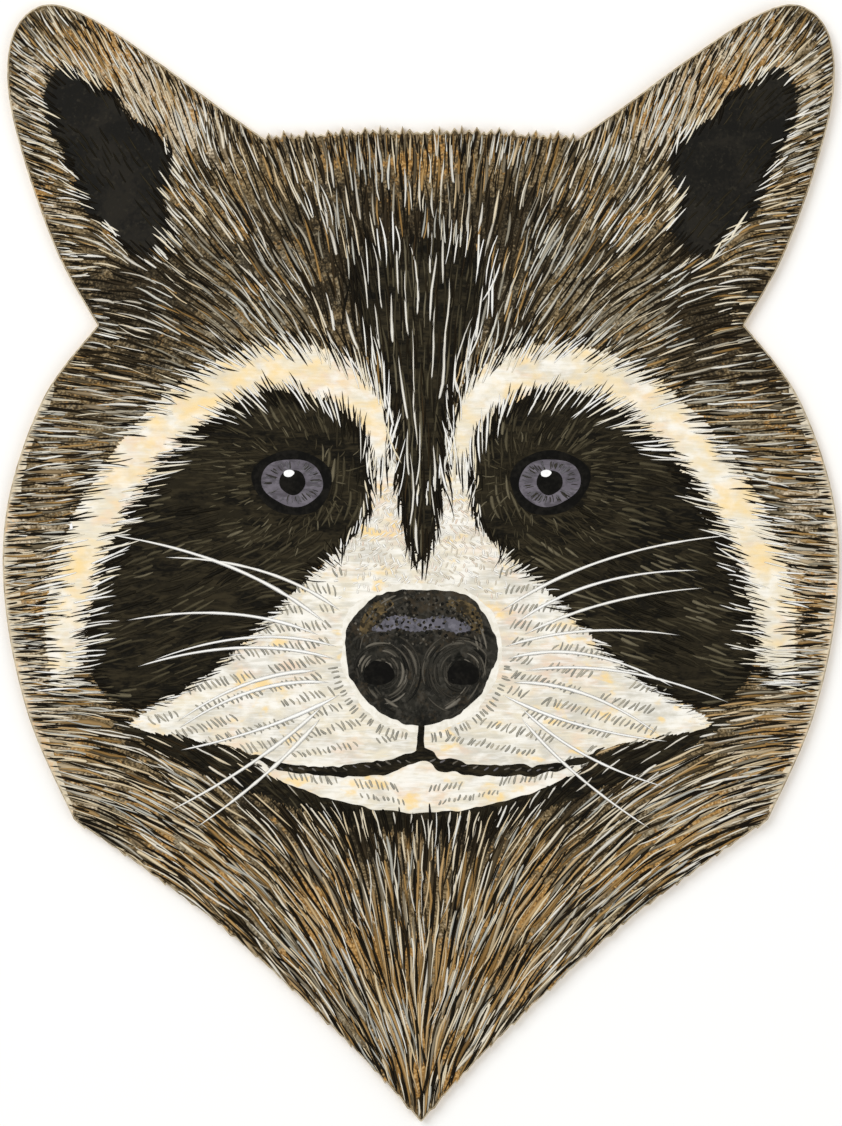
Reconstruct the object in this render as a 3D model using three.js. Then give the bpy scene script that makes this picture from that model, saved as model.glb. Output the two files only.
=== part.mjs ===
// Painted raccoon-head cut-out: one flat board, sawn round the outline of a head seen from the front,
// with fur points cut into its crown and bib. It lies on its back face, painted side up.
// Millimetres. +Y points to the ears, -Y to the tip of the bib and +Z out of the painted face.

import * as THREE from 'three';
import { mergeVertices } from 'three/addons/utils/BufferGeometryUtils.js';

// ---------------------------------------------------------------- driving dimensions

const BOARD_WIDTH = 280; // cheek to cheek
const BOARD_HEIGHT = 374; // tip of the bib to the top of the ears
const BOARD_THICKNESS = 4; // birch plywood
const EDGE_EASE = 0.4; // sanded edge, on both faces

const HALF_WIDTH = BOARD_WIDTH / 2;
const HALF_HEIGHT = BOARD_HEIGHT / 2;

// Landmarks of the right half, as [x, y] from the middle of the board. The left half mirrors them.
const BIB_TIP = [0, -HALF_HEIGHT];
const BIB_CORNER = [116, -86];
const EAR_NOTCH = [108, 79];
const EAR_TIP = [126, HALF_HEIGHT - 1];
const EAR_ROOT = [52, 141];
const CROWN = [0, 143];

const BIB_EDGE = [BIB_TIP, [14, -171], [36, -149], [66, -122], [94, -101], BIB_CORNER];
const CHEEK_EDGE = [BIB_CORNER, [131, -52], [139, -14], [138, 20], [126, 55], EAR_NOTCH];
const EAR_OUTER_SIDE = [[121, 102], [132, 132], [138, 158], [136, 177]];
const EAR_INNER_SIDE = [[111, 182], [88, 167], [69, 153]];
const EAR_EDGE = [EAR_NOTCH, ...EAR_OUTER_SIDE, EAR_TIP, ...EAR_INNER_SIDE, EAR_ROOT];
const CROWN_EDGE = [EAR_ROOT, [36, 142], [18, 143], CROWN];

// Fur points along each run: the pitch from root to root, the height of a point above the smooth
// outline, and how far along its pitch the point leans, where 0.5 stands upright. A smooth run has
// no height.
const SMOOTH = { pitch: 3.2, height: 0, lean: 0.5 };
const BIB_FUR = { pitch: 5.6, height: 0.9, lean: 0.15 };
const CROWN_FUR = { pitch: 2.5, height: 3.0, lean: 0.5 };

const RUNS = [
  { points: BIB_EDGE, fur: BIB_FUR },
  { points: CHEEK_EDGE, fur: SMOOTH },
  { points: EAR_EDGE, fur: SMOOTH },
  { points: CROWN_EDGE, fur: CROWN_FUR },
];

// The shortest fur point is this share of the tallest, a root strays by up to half of this share of
// its pitch, and no two neighbours are alike.
const SHORTEST_POINT = 0.2;
const ROOT_STRAY = 0.5;
const GOLDEN_RATIO = (1 + Math.sqrt(5)) / 2;
const PLASTIC_RATIO = 1.324718;

// ---------------------------------------------------------------- outline

// Height of the index-th fur point, as a share of the tallest.
function furShare(index) {
  const spread = (index * GOLDEN_RATIO) % 1;
  return SHORTEST_POINT + (1 - SHORTEST_POINT) * spread;
}

// How far the index-th root strays along the run, as a share of the pitch.
function rootStray(index) {
  return ROOT_STRAY * (((index * PLASTIC_RATIO) % 1) - 0.5);
}

// One run of the right half: a root on the smooth curve, then a fur point outside it, over and over.
// The curve runs anticlockwise, so the outside lies to the right of its direction of travel.
function furRun({ points, fur }, firstIndex) {
  const curve = new THREE.SplineCurve(points.map(([x, y]) => new THREE.Vector2(x, y)));
  const count = Math.round(curve.getLength() / fur.pitch);
  const outline = [];
  for (let i = 0; i < count; i += 1) {
    const stray = i > 0 ? rootStray(i) : 0;
    const root = curve.getPointAt((i + stray) / count);
    const along = Math.min((i + fur.lean) / count, 1);
    const travel = curve.getTangentAt(along);
    const outwards = new THREE.Vector2(travel.y, -travel.x);
    const height = fur.height * furShare(firstIndex + i);
    const point = curve.getPointAt(along).addScaledVector(outwards, height);
    outline.push(root, point);
  }
  return outline;
}

// Right half from the bib's tip up to the crown, both of them on the centre line.
function rightHalf() {
  const outline = [];
  for (const run of RUNS) {
    outline.push(...furRun(run, outline.length));
  }
  outline.push(new THREE.Vector2(...CROWN));
  return outline;
}

// Whole outline, with the left half mirrored and both halves sharing the two centre-line points.
function boardOutline() {
  const right = rightHalf();
  const left = right.slice(1, -1).reverse().map((p) => new THREE.Vector2(-p.x, p.y));
  return [...right, ...left];
}

// Scales an outline about the centre line and the middle of its height, to the board's real size.
function fitToBoard(outline) {
  const bounds = new THREE.Box2().setFromPoints(outline);
  const size = bounds.getSize(new THREE.Vector2());
  const middle = bounds.getCenter(new THREE.Vector2());
  const scale = new THREE.Vector2(BOARD_WIDTH / size.x, BOARD_HEIGHT / size.y);
  return outline.map((p) => p.clone().sub(middle).multiply(scale));
}

// ---------------------------------------------------------------- board

function boardGeometry() {
  const shape = new THREE.Shape(fitToBoard(boardOutline()));
  const geometry = new THREE.ExtrudeGeometry(shape, {
    depth: BOARD_THICKNESS - 2 * EDGE_EASE,
    steps: 1,
    bevelEnabled: true,
    bevelSegments: 1,
    bevelSize: EDGE_EASE,
    bevelThickness: EDGE_EASE,
    bevelOffset: -EDGE_EASE,
  });
  geometry.translate(0, 0, EDGE_EASE);
  geometry.deleteAttribute('normal');
  geometry.deleteAttribute('uv');
  const closed = mergeVertices(geometry);
  closed.computeVertexNormals();
  return closed;
}

function makeBoard() {
  const birch = new THREE.MeshStandardMaterial({ color: 0xd9c39a, roughness: 0.7, metalness: 0 });
  const board = new THREE.Mesh(boardGeometry(), birch);
  board.name = 'board';
  return board;
}

const cutOut = new THREE.Group();
cutOut.add(makeBoard());

export default cutOut;
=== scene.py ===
"""Looks of a painted raccoon-head cut-out: the board's wood, its paint films and every brushed hair."""

import logging
import math
from dataclasses import dataclass, field
from enum import Enum, IntEnum
from typing import Callable, Sequence

import bpy
import numpy as np
from numpy.typing import NDArray
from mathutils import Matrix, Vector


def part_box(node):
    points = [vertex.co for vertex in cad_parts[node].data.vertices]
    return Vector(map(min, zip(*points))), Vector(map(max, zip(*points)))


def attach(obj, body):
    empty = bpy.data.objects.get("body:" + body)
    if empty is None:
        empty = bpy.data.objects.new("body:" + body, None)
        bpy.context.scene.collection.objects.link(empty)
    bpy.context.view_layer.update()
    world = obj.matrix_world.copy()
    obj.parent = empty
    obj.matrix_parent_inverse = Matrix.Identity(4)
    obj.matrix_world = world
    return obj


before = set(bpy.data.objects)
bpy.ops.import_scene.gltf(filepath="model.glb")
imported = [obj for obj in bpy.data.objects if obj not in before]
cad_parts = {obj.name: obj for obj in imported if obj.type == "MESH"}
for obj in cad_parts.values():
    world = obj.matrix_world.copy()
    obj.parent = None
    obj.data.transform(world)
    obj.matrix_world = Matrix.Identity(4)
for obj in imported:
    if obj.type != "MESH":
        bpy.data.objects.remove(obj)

log = logging.getLogger("cutout")

MM = 0.001
BODY = "root"
BOARD_NODE = "board"
SHADES_ATTRIBUTE = "Shades"
PALE_ATTRIBUTE = "Paleness"
HAIR_MAP = "Hair"
BAKE_MAP = "OFBake"
MATTE = 0.06
TONES = (0.004, 0.996)
TONE_LIMITS = (0.01, 0.99)
NOISE_BAND = (0.3, 0.7)
TINY = 1e-18
BEVEL_FROM = math.radians(60)

Array = NDArray[np.float64]
Colour = tuple[int, int, int]
Stops = tuple[tuple[float, int, int, int], ...]
Rows = tuple[tuple[float, ...], ...]
Pair = tuple[float, float]
Triple = tuple[float, float, float]
Socket = bpy.types.NodeSocket
Random = np.random.Generator


def linear(colour: Colour) -> tuple[float, ...]:
    """The shaders' linear colour for a screen's red, green and blue, 0 to 255."""
    shares = [value / 255 for value in colour]
    return (*(s / 12.92 if s <= 0.04045 else ((s + 0.055) / 1.055) ** 2.4 for s in shares), 1.0)


# Shapes in the plane


class Side(Enum):
    """Half of the face that a marking lies on."""

    RIGHT = 1
    LEFT = -1
    BOTH = 0


SIDES = ((Side.RIGHT, "right"), (Side.LEFT, "left"))


def polar(degrees: Array) -> Array:
    """Unit vectors, one row for each angle."""
    angles = np.radians(degrees)
    return np.stack([np.cos(angles), np.sin(angles)], axis=-1)


def heading(vectors: Array) -> Array:
    """Angles of vectors, in degrees."""
    return np.degrees(np.arctan2(vectors[..., 1], vectors[..., 0]))


def unit(vectors: Array) -> Array:
    """Vectors scaled to length one."""
    return vectors / np.maximum(np.hypot(vectors[..., 0], vectors[..., 1]), TINY)[..., None]


def leftward(vectors: Array) -> Array:
    """Vectors turned a quarter turn to the left."""
    return np.stack([-vectors[..., 1], vectors[..., 0]], axis=-1)


def places_of(mesh: bpy.types.Mesh) -> Array:
    """Rows of x, y, z of a mesh's vertices."""
    return np.array([vertex.co for vertex in mesh.vertices])


def curve_through(landmarks: Array, steps: int = 8) -> Array:
    """Runs a smooth closed curve through landmarks.

    Args:
        landmarks: rows of x, y that the curve passes through.
        steps: points made for each stretch between two landmarks.

    Returns:
        Rows of x, y along the curve, without its first point repeated.
    """
    turned = (np.roll(landmarks, shift, axis=0)[:, None, :] for shift in (1, 0, -1, -2))
    before, start, end, after = turned
    t = (np.arange(steps) / steps)[None, :, None]
    bend = 2 * before - 5 * start + 4 * end - after
    twist = -before + 3 * start - 3 * end + after
    points = (2 * start + (end - before) * t + bend * t**2 + twist * t**3) / 2
    return points.reshape(-1, 2)


def spaced_round(loop: Array, pitch: float) -> Array:
    """Spreads points evenly round a loop.

    Args:
        loop: rows of x, y round the loop.
        pitch: distance wanted between neighbours.

    Returns:
        Evenly spaced rows of x, y.
    """
    line = np.vstack([loop, loop[:1]])
    reached = np.concatenate([[0.0], np.cumsum(np.hypot(*np.diff(line, axis=0).T))])
    count = max(int(round(reached[-1] / pitch)), 8)
    wanted = np.linspace(0, reached[-1], count + 1)[:-1]
    return np.stack([np.interp(wanted, reached, line[:, axis]) for axis in (0, 1)], axis=-1)


def inside_loop(points: Array, loop: Array) -> NDArray[np.bool_]:
    """Tells which points lie inside a closed loop.

    Args:
        points: rows of x, y.
        loop: rows of x, y round the loop.

    Returns:
        One truth value for each point.
    """
    found = np.zeros(len(points), bool)
    near = np.flatnonzero(((points >= loop.min(axis=0)) & (points <= loop.max(axis=0))).all(axis=1))
    x, y = points[near, 0][:, None], points[near, 1][:, None]
    x0, y0 = loop.T[:, None, :]
    x1, y1 = np.roll(loop, -1, axis=0).T[:, None, :]
    rise = np.where(y1 == y0, 1.0, y1 - y0)
    crossings = ((y0 > y) != (y1 > y)) & (x < (x1 - x0) * (y - y0) / rise + x0)
    found[near] = crossings.sum(axis=1) % 2 == 1
    return found


def distance_to_loop(points: Array, loop: Array, batch: int = 4000) -> Array:
    """Measures how far points lie from a closed loop.

    Args:
        points: rows of x, y.
        loop: rows of x, y round the loop.
        batch: points measured at a time.

    Returns:
        One distance for each point.
    """
    edge = (np.roll(loop, -1, axis=0) - loop)[None, :, :]
    squared = np.maximum((edge**2).sum(axis=2), TINY)
    nearest = []
    for first in range(0, len(points), batch):
        offset = points[first : first + batch, None, :] - loop[None, :, :]
        share = np.clip((offset * edge).sum(axis=2) / squared, 0, 1)[:, :, None]
        nearest.append(np.sqrt(((offset - share * edge) ** 2).sum(axis=2).min(axis=1)))
    return np.concatenate(nearest)


def patches(points: Array, size: float, seed: int) -> Array:
    """Smooth random patches over the board.

    Args:
        points: rows of x, y.
        size: rough width of a patch.
        seed: fixes where the patches lie.

    Returns:
        One value for each point, mostly within 0 and 1.
    """
    rng = np.random.default_rng(seed)
    waves, shortest, longest, swing = 7, 1.3, 2.8, 0.42
    angles, phases = rng.uniform(0, 2 * math.pi, (2, waves))
    pitches = size * rng.uniform(shortest, longest, waves)
    total = np.zeros(len(points))
    for angle, phase, pitch in zip(angles, phases, pitches):
        along = points @ np.array([math.cos(angle), math.sin(angle)])
        total += np.sin(2 * math.pi * along / pitch + phase)
    return 0.5 + total / math.sqrt(waves) * swing


@dataclass(frozen=True)
class Grid:
    """Values held on a square grid over the board."""

    corner: Array
    pitch: float
    values: NDArray

    @staticmethod
    def over(low: Array, high: Array, pitch: float, rule: Callable[[Array], NDArray]) -> "Grid":
        """Works out a rule's values on a grid.

        Args:
            low: lowest corner of the ground to cover.
            high: highest corner.
            pitch: distance between grid points.
            rule: gives one value for each row of x, y.

        Returns:
            The filled grid.
        """
        columns, rows = (int(math.ceil(span / pitch)) + 1 for span in high - low)
        x, y = np.meshgrid(np.arange(columns) * pitch, np.arange(rows) * pitch, indexing="ij")
        points = np.stack([x.ravel(), y.ravel()], axis=-1) + low
        return Grid(low, pitch, rule(points).reshape(columns, rows))

    def at(self, points: Array) -> NDArray:
        """The value at the grid point nearest to each of the given points."""
        index = np.rint((points - self.corner) / self.pitch).astype(int)
        return self.values[tuple(np.clip(index, 0, np.array(self.values.shape) - 1).T)]

    def between(self, points: Array) -> Array:
        """The value at each of the given points, blended from the four grid points round it.

        Args:
            points: rows of x, y.

        Returns:
            One value for each point.
        """
        place = ((points - self.corner) / self.pitch).clip(0, np.array(self.values.shape) - 1.001)
        column, row = place.astype(int).T
        across, along = (place % 1).T
        near, far = (
            self.values[column + step, row] * (1 - along) + self.values[column + step, row + 1] * along
            for step in (0, 1)
        )
        return near * (1 - across) + far * across


# The board's outline


class BoardShape:
    """The front face of the board, read from its CAD node."""

    FIELD_PITCH = 1.0 * MM
    LOOP_PITCH = 0.7 * MM
    WELD = 0.01 * MM

    def __init__(self, mesh: bpy.types.Mesh) -> None:
        """Reads the outline of the front face.

        Args:
            mesh: the mesh of the board's CAD node.
        """
        low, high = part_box(BOARD_NODE)
        self.front = high.z
        self.low, self.high = np.array(low[:2]), np.array(high[:2])
        self.loop = self._front_loop(mesh)
        self._depth = Grid.over(self.low, self.high, self.FIELD_PITCH, self._signed_depth)

    def _front_loop(self, mesh: bpy.types.Mesh) -> Array:
        """Follows the border of the triangles that make up the front face.

        Args:
            mesh: the board's mesh.

        Returns:
            Rows of x, y round the border, anticlockwise.
        """
        places = places_of(mesh)
        rounded = np.rint(places / self.WELD).astype(int)
        front = round(self.front / self.WELD)
        edges = set()
        mesh.calc_loop_triangles()
        for triangle in mesh.loop_triangles:
            keys = [tuple(rounded[vertex]) for vertex in triangle.vertices]
            if all(abs(key[2] - front) <= 1 for key in keys):
                edges.update(zip(keys, keys[1:] + keys[:1]))
        border = {start: end for start, end in edges if (end, start) not in edges}
        order = [min(border)]
        while border[order[-1]] != order[0]:
            order.append(border[order[-1]])
        where = {tuple(key): place for key, place in zip(rounded, places)}
        return np.array([where[key][:2] for key in order])

    def _signed_depth(self, points: Array) -> Array:
        """Distance to the outline, positive inside it."""
        distance = distance_to_loop(points, self.loop)
        return np.where(inside_loop(points, self.loop), distance, -distance)

    def depth(self, points: Array) -> Array:
        """How far inside the outline each point lies, negative outside."""
        return self._depth.between(points)

    def drawn_in(self, inset: float) -> Array:
        """A loop that follows the outline a little way inside it, anticlockwise."""
        loop = spaced_round(self.loop, self.LOOP_PITCH)
        return loop + self.inwards(loop) * inset

    @staticmethod
    def inwards(loop: Array) -> Array:
        """Unit vectors that point into an anticlockwise loop, square to its run."""
        return unit(leftward(np.roll(loop, -2, axis=0) - np.roll(loop, 2, axis=0)))


# How the fur lies


class FurFlow:
    """Direction in which the hair tips point, anywhere on the head."""

    # The right half, as x, y in millimetres and an angle in degrees from +X. The left half mirrors
    # it. In order: crown, brow, round the eye, muzzle, cheek, bib, ear.
    ANCHORS = (
        (0, 138, 90), (20, 138, 84), (40, 136, 74), (54, 134, 66), (0, 110, 90), (25, 110, 80),
        (50, 112, 60), (76, 116, 54), (0, 80, 90), (22, 84, 78), (48, 88, 52), (74, 92, 32),
        (100, 92, 12),
        (10, 60, 84), (30, 68, 62), (52, 68, 42), (76, 60, 18), (98, 44, 2), (114, 22, -8),
        (122, -4, -12), (126, 50, 4), (136, 20, -2), (118, 64, 8),
        (4, 30, 90), (10, 40, 88), (6, 12, 90), (15, 22, 84), (24, 34, 96), (43, 46, 58),
        (64, 28, -6), (43, 8, -34), (26, 14, -60), (82, 22, -14), (96, -4, -22), (98, -28, -18),
        (70, -8, -28), (84, -32, -26),
        (0, -6, 90), (12, -2, 66), (26, -4, 40), (36, -14, 10), (50, -28, -10), (62, -40, -14),
        (36, -50, -20), (20, -62, -50), (0, -66, -90), (8, -66, -70),
        (132, 0, -3), (136, -30, 2), (120, -50, 2), (128, -64, 8), (102, -54, 10), (112, -76, 16),
        (84, -64, -152), (60, -76, -142), (36, -84, -126), (14, -88, -104), (0, -90, -90),
        (104, -92, -156), (84, -88, -150), (60, -94, -140), (36, -100, -124), (12, -102, -104),
        (0, -104, -90), (90, -104, -148), (66, -108, -140), (44, -118, -130), (22, -124, -114),
        (6, -126, -98), (48, -140, -136), (28, -148, -124), (12, -152, -110), (20, -166, -126),
        (4, -174, -102),
        (82, 112, 46), (66, 146, 78), (84, 158, 68), (104, 172, 60), (124, 180, 56), (134, 164, 32),
        (131, 140, 20), (122, 114, 6), (112, 96, -2), (98, 108, 50), (104, 138, 58),
    )
    SOFTENING = 5 * MM
    FALL_OFF = 1.6
    BACK_STEPS = 4
    FRONT_STEPS = 6

    def __init__(self) -> None:
        """Mirrors the right half's anchors."""
        right = np.array(self.ANCHORS, float)
        anchors = np.vstack([right, right * (-1, 1, -1) + (0, 0, 180)])
        self._places = anchors[:, :2] * MM
        self._ways = polar(anchors[:, 2])
        self._doubled = polar(anchors[:, 2] * 2)

    def at(self, points: Array) -> Array:
        """Works out the direction at each point.

        The angles are doubled before they are averaged, so that hair brushed up and hair brushed
        down share one line.

        Args:
            points: rows of x, y.

        Returns:
            A unit vector for each point.
        """
        squared = ((points[:, None, :] - self._places[None, :, :]) ** 2).sum(axis=2)
        weights = 1 / (squared + self.SOFTENING**2) ** self.FALL_OFF
        ways = polar(heading(weights @ self._doubled) / 2)
        ways[(ways * (weights @ self._ways)).sum(axis=1) < 0] *= -1
        return ways

    def trace(self, points: Array, lengths: Array, turns: Array, bends: Array) -> Array:
        """Follows the fur through each point, back to a hair's root and on to its tip.

        Args:
            points: rows of x, y.
            lengths: length of each hair.
            turns: angle in degrees by which each hair strays from the flow.
            bends: further angle in degrees that each hair gains from root to tip.

        Returns:
            An array of hairs by stations by x, y, with the root first.
        """
        steps = self.BACK_STEPS + self.FRONT_STEPS
        halves = []
        for sign, count in ((-1, self.BACK_STEPS), (1, self.FRONT_STEPS)):
            stations = [points]
            before = self.at(points)
            for step in range(1, count + 1):
                way = self.at(stations[-1])
                way[(way * before).sum(axis=1) < 0] *= -1
                before = way
                turned = polar(heading(way) + turns + bends * (sign * step / steps))
                stations.append(stations[-1] + turned * (sign * lengths / steps)[:, None])
            halves.append(stations)
        return np.stack(halves[0][:0:-1] + halves[1], axis=1)


class Shade(Enum):
    """Broad changes of colour over the fur, which the ground coat and the hairs share.

    Each is made of soft spots: x, y and radius in millimetres, then strength. Every spot has a twin
    across the centre line.
    """

    DARK = (
        (26, 84, 18, 0.6), (60, 94, 20, 0.4), (14, 110, 20, 0.6), (96, 76, 20, 0.65),
        (40, 120, 20, 0.45), (90, 96, 14, 0.6), (56, -82, 14, 0.6), (20, -90, 14, 0.6),
        (98, -60, 10, 0.4), (74, 132, 12, 0.45), (112, 92, 12, 0.4), (120, 62, 12, 0.3),
    )
    WARM = (
        (24, 130, 15, 0.3), (2, 136, 12, 0.25), (74, 116, 13, 0.3), (112, 172, 14, 0.75),
        (98, 156, 12, 0.5), (132, 42, 12, 0.5), (132, -14, 13, 0.7), (118, -62, 13, 0.6),
        (92, -84, 13, 0.6), (66, -104, 14, 0.7), (34, -112, 14, 0.75), (40, -138, 12, 0.6),
        (14, -136, 14, 0.8), (0, -166, 13, 0.7), (88, -98, 11, 0.4), (110, 56, 11, 0.4),
        (128, 126, 10, 0.5), (56, 118, 10, 0.3), (92, 138, 10, 0.5), (80, 152, 9, 0.45),
    )
    GREY = (
        (46, 104, 22, 0.5), (104, 46, 18, 0.6), (122, -40, 16, 0.6), (72, 80, 18, 0.6),
        (80, -92, 14, 0.6), (108, -84, 12, 0.8), (130, 150, 14, 0.6), (88, 148, 12, 0.6),
        (52, -124, 13, 0.6), (24, -150, 12, 0.6), (128, 6, 12, 0.4), (22, 92, 10, 0.4),
    )
    PALE = (
        (134, -4, 22, 0.8), (134, -46, 22, 0.8), (126, 30, 14, 0.45), (110, -74, 18, 0.5),
        (132, 160, 12, 0.6), (124, 118, 9, 0.4), (20, -120, 14, 0.35), (4, -150, 12, 0.4),
        (92, 152, 17, 0.75), (76, 144, 12, 0.5), (106, 170, 14, 0.6), (40, 128, 14, 0.25),
        (100, 120, 8, 0.4), (60, -100, 12, 0.3),
    )

    def over(self, points: Array) -> Array:
        """Works out the share of the shade at each point.

        Args:
            points: rows of x, y.

        Returns:
            One value from 0 to 1 for each point.
        """
        total = np.zeros(len(points))
        for x, y, radius, strength in self.value:
            for side in (-1, 1):
                squared = ((points - np.array([x * side, y]) * MM) ** 2).sum(axis=1)
                total += strength * np.exp(-squared / (radius * MM) ** 2)
        return np.clip(total, 0, 1)


# Shader building


class ShaderBench:
    """Adds nodes to a material's or a group's tree, left to right."""

    COLUMN = 220
    ROW = -40
    ROWS = 5

    def __init__(self, tree: bpy.types.NodeTree, effects: "SharedEffects | None" = None) -> None:
        """Takes the tree to build in.

        Args:
            tree: the tree.
            effects: the shared node groups, for a material's tree.
        """
        self.tree = tree
        self.effects = effects
        self._column = 0

    def add(self, kind: str, **settings: object) -> bpy.types.Node:
        """Adds a node.

        Args:
            kind: the node's type.
            settings: properties to set on it.

        Returns:
            The new node.
        """
        node = self.tree.nodes.new(kind)
        self._column += 1
        node.location = (self.COLUMN * self._column, self.ROW * (self._column % self.ROWS))
        for name, value in settings.items():
            setattr(node, name, value)
        return node

    def plug(self, source: object, socket: Socket) -> None:
        """Links a socket, or sets a plain value.

        Args:
            source: an output socket, or a value, which for a colour is red, green and blue.
            socket: the input that takes it.
        """
        if isinstance(source, Socket):
            self.tree.links.new(source, socket)
        else:
            socket.default_value = linear(source) if socket.type == "RGBA" else source

    def wire(self, node: bpy.types.Node, output: int | str | slice, **inputs: object) -> object:
        """Fills a node's inputs, in the order given.

        Args:
            node: the node.
            output: number or name of the output that is wanted, or the numbers of several.
            inputs: what goes into each input, named with _ for a space, or by _ and its number.

        Returns:
            The output or outputs.
        """
        for name, source in inputs.items():
            key = int(name[1:]) if name[0] == "_" else name.replace("_", " ")
            self.plug(source, node.inputs[key])
        return node.outputs[output]

    def maths(self, operation: str, first: object, second: object = 0.0) -> Socket:
        """Adds a Math node and returns its result."""
        return self.wire(self.add("ShaderNodeMath", operation=operation), 0, _0=first, _1=second)

    def noise(
        self, vector: object, scale: object, detail: float = 3.0, distortion: float = 0.0
    ) -> Socket:
        """Adds a noise and returns its value, 0 to 1."""
        node = self.add("ShaderNodeTexNoise")
        return self.wire(
            node, "Fac", Vector=vector, Scale=scale, Detail=detail, Distortion=distortion
        )

    def stretched(self, vector: object, scale: Triple, turn: float = 0.0) -> Socket:
        """Stretches a pattern's coordinates and returns them."""
        node = self.add("ShaderNodeMapping")
        return self.wire(node, "Vector", Vector=vector, Scale=scale, Rotation=(0, 0, turn))

    def streaks(
        self, vector: object, scale: Triple, detail: float, distortion: float = 0.0, turn: float = 0.0
    ) -> Socket:
        """Adds a noise stretched along an axis and returns its value."""
        return self.noise(self.stretched(vector, scale, turn), 1.0, detail, distortion)

    def remap(
        self, value: object, low: object, high: object, to_low: float = 0.0, to_high: float = 1.0
    ) -> Socket:
        """Turns the range from low to high into the range from to_low to to_high, with soft ends."""
        node = self.add("ShaderNodeMapRange", interpolation_type="SMOOTHSTEP")
        return self.wire(node, "Result", _0=value, _1=low, _2=high, _3=to_low, _4=to_high)

    def mix(self, share: object, first: object, second: object) -> Socket:
        """Mixes two colours and returns the result."""
        node = self.add("ShaderNodeMix", data_type="RGBA", blend_type="MIX")
        return self.wire(node, 2, Factor=share, _6=first, _7=second)

    def ramp(self, value: object, stops: Stops) -> Socket:
        """Adds a colour ramp.

        Args:
            value: where to read it, 0 to 1.
            stops: rows of position, red, green and blue.

        Returns:
            Its colour.
        """
        node = self.add("ShaderNodeValToRGB")
        elements = node.color_ramp.elements
        while len(elements) < len(stops):
            elements.new(1.0)
        for element, (position, *colour) in zip(elements, stops):
            element.position = position
            element.color = linear(colour)
        return self.wire(node, "Color", Fac=value)

    def parts(self, vector: object) -> Sequence[Socket]:
        """Splits a vector and returns its x, y and z."""
        node = self.add("ShaderNodeSeparateXYZ")
        return self.wire(node, slice(3), _0=vector)

    def group(self, tree: bpy.types.NodeTree, **inputs: object) -> Socket:
        """Places a node group and returns its output."""
        return self.wire(self.add("ShaderNodeGroup", node_tree=tree), 0, **inputs)

    def place(self) -> Socket:
        """Coordinates fixed to the board, in metres."""
        return self.add("ShaderNodeTexCoord").outputs["Object"]

    def bumps(self, height: object, depth: float) -> Socket:
        """The normals of a surface with a relief of 0 to 1, whose depth is given in metres."""
        return self.wire(self.add("ShaderNodeBump"), 0, Strength=0.6, Distance=depth, Height=height)


def new_group(
    name: str, inputs: dict[str, object], output: str
) -> tuple[ShaderBench, dict[str, Socket], Socket]:
    """Starts a shader node group that puts out a plain value.

    Args:
        name: the group's name.
        inputs: each input's name and its default, or None for a vector.
        output: the output's name.

    Returns:
        A bench for its tree, its inputs by name, and the socket that takes its output.
    """
    tree = bpy.data.node_groups.new(name, "ShaderNodeTree")
    for label, default in inputs.items():
        kind = "NodeSocketVector" if default is None else "NodeSocketFloat"
        socket = tree.interface.new_socket(name=label, in_out="INPUT", socket_type=kind)
        if default is not None:
            socket.default_value = default
    tree.interface.new_socket(name=output, in_out="OUTPUT", socket_type="NodeSocketFloat")
    bench = ShaderBench(tree)
    entry, leave = bench.add("NodeGroupInput"), bench.add("NodeGroupOutput")
    return bench, {socket.name: socket for socket in entry.outputs if socket.name}, leave.inputs[0]


class SharedEffects:
    """Effects that several finishes use, each of them a node group made once."""

    def __init__(self) -> None:
        """Builds the groups."""
        self.mottle = self._mottle()
        self.brushwork = self._brushwork()
        self.bristles = self._bristles()

    @staticmethod
    def _mottle() -> bpy.types.NodeTree:
        """Blotches of dabbed paint, from a coarse noise broken up by a fine one."""
        inputs = {"Vector": None, "Coarse": 60.0, "Fine": 400.0, "Amount": 0.5, "Softness": 0.12}
        bench, given, mask = new_group("Dabbed mottle", inputs, "Mask")
        coarse = bench.noise(given["Vector"], given["Coarse"], 4.0, 0.6)
        fine = bench.noise(given["Vector"], given["Fine"], 3.0)
        raggedness, scarce, rise = 0.55, 0.78, 0.56
        uneven = bench.maths("MULTIPLY", bench.maths("SUBTRACT", fine, 0.5), raggedness)
        value = bench.maths("ADD", coarse, uneven)
        middle = bench.maths("SUBTRACT", scarce, bench.maths("MULTIPLY", given["Amount"], rise))
        low = bench.maths("SUBTRACT", middle, given["Softness"])
        high = bench.maths("ADD", middle, given["Softness"])
        bench.plug(bench.remap(value, low, high), mask)
        return bench.tree

    @staticmethod
    def _brushwork() -> bpy.types.NodeTree:
        """Fine ridges that a flat brush leaves in thick paint."""
        bench, given, height = new_group("Brushwork", {"Vector": None, "Size": 1.0}, "Height")
        scaled = bench.add("ShaderNodeVectorMath", operation="SCALE")
        place = bench.wire(scaled, 0, _0=given["Vector"], Scale=given["Size"])
        ridges = bench.streaks(place, (900, 140, 500), 2.0, 0.8, math.radians(25))
        grain = bench.noise(place, 1500.0, 2.0)
        bench.plug(bench.maths("ADD", ridges, bench.maths("MULTIPLY", grain, 0.5)), height)
        return bench.tree

    @staticmethod
    def _bristles() -> bpy.types.NodeTree:
        """Streaks along a single brushed hair, from the hair's own map."""
        inputs = {"Vector": None, "Streaks": 90.0}
        bench, given, mask = new_group("Bristle streaks", inputs, "Mask")
        across, along, _ = bench.parts(given["Vector"])
        joined = bench.add("ShaderNodeCombineXYZ")
        across = bench.maths("MULTIPLY", across, given["Streaks"])
        spot = bench.wire(joined, 0, _0=across, _1=bench.maths("MULTIPLY", along, 2.6))
        bench.plug(bench.remap(bench.noise(spot, 1.0, 3.0), *NOISE_BAND), mask)
        return bench.tree


# Finishes


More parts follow.
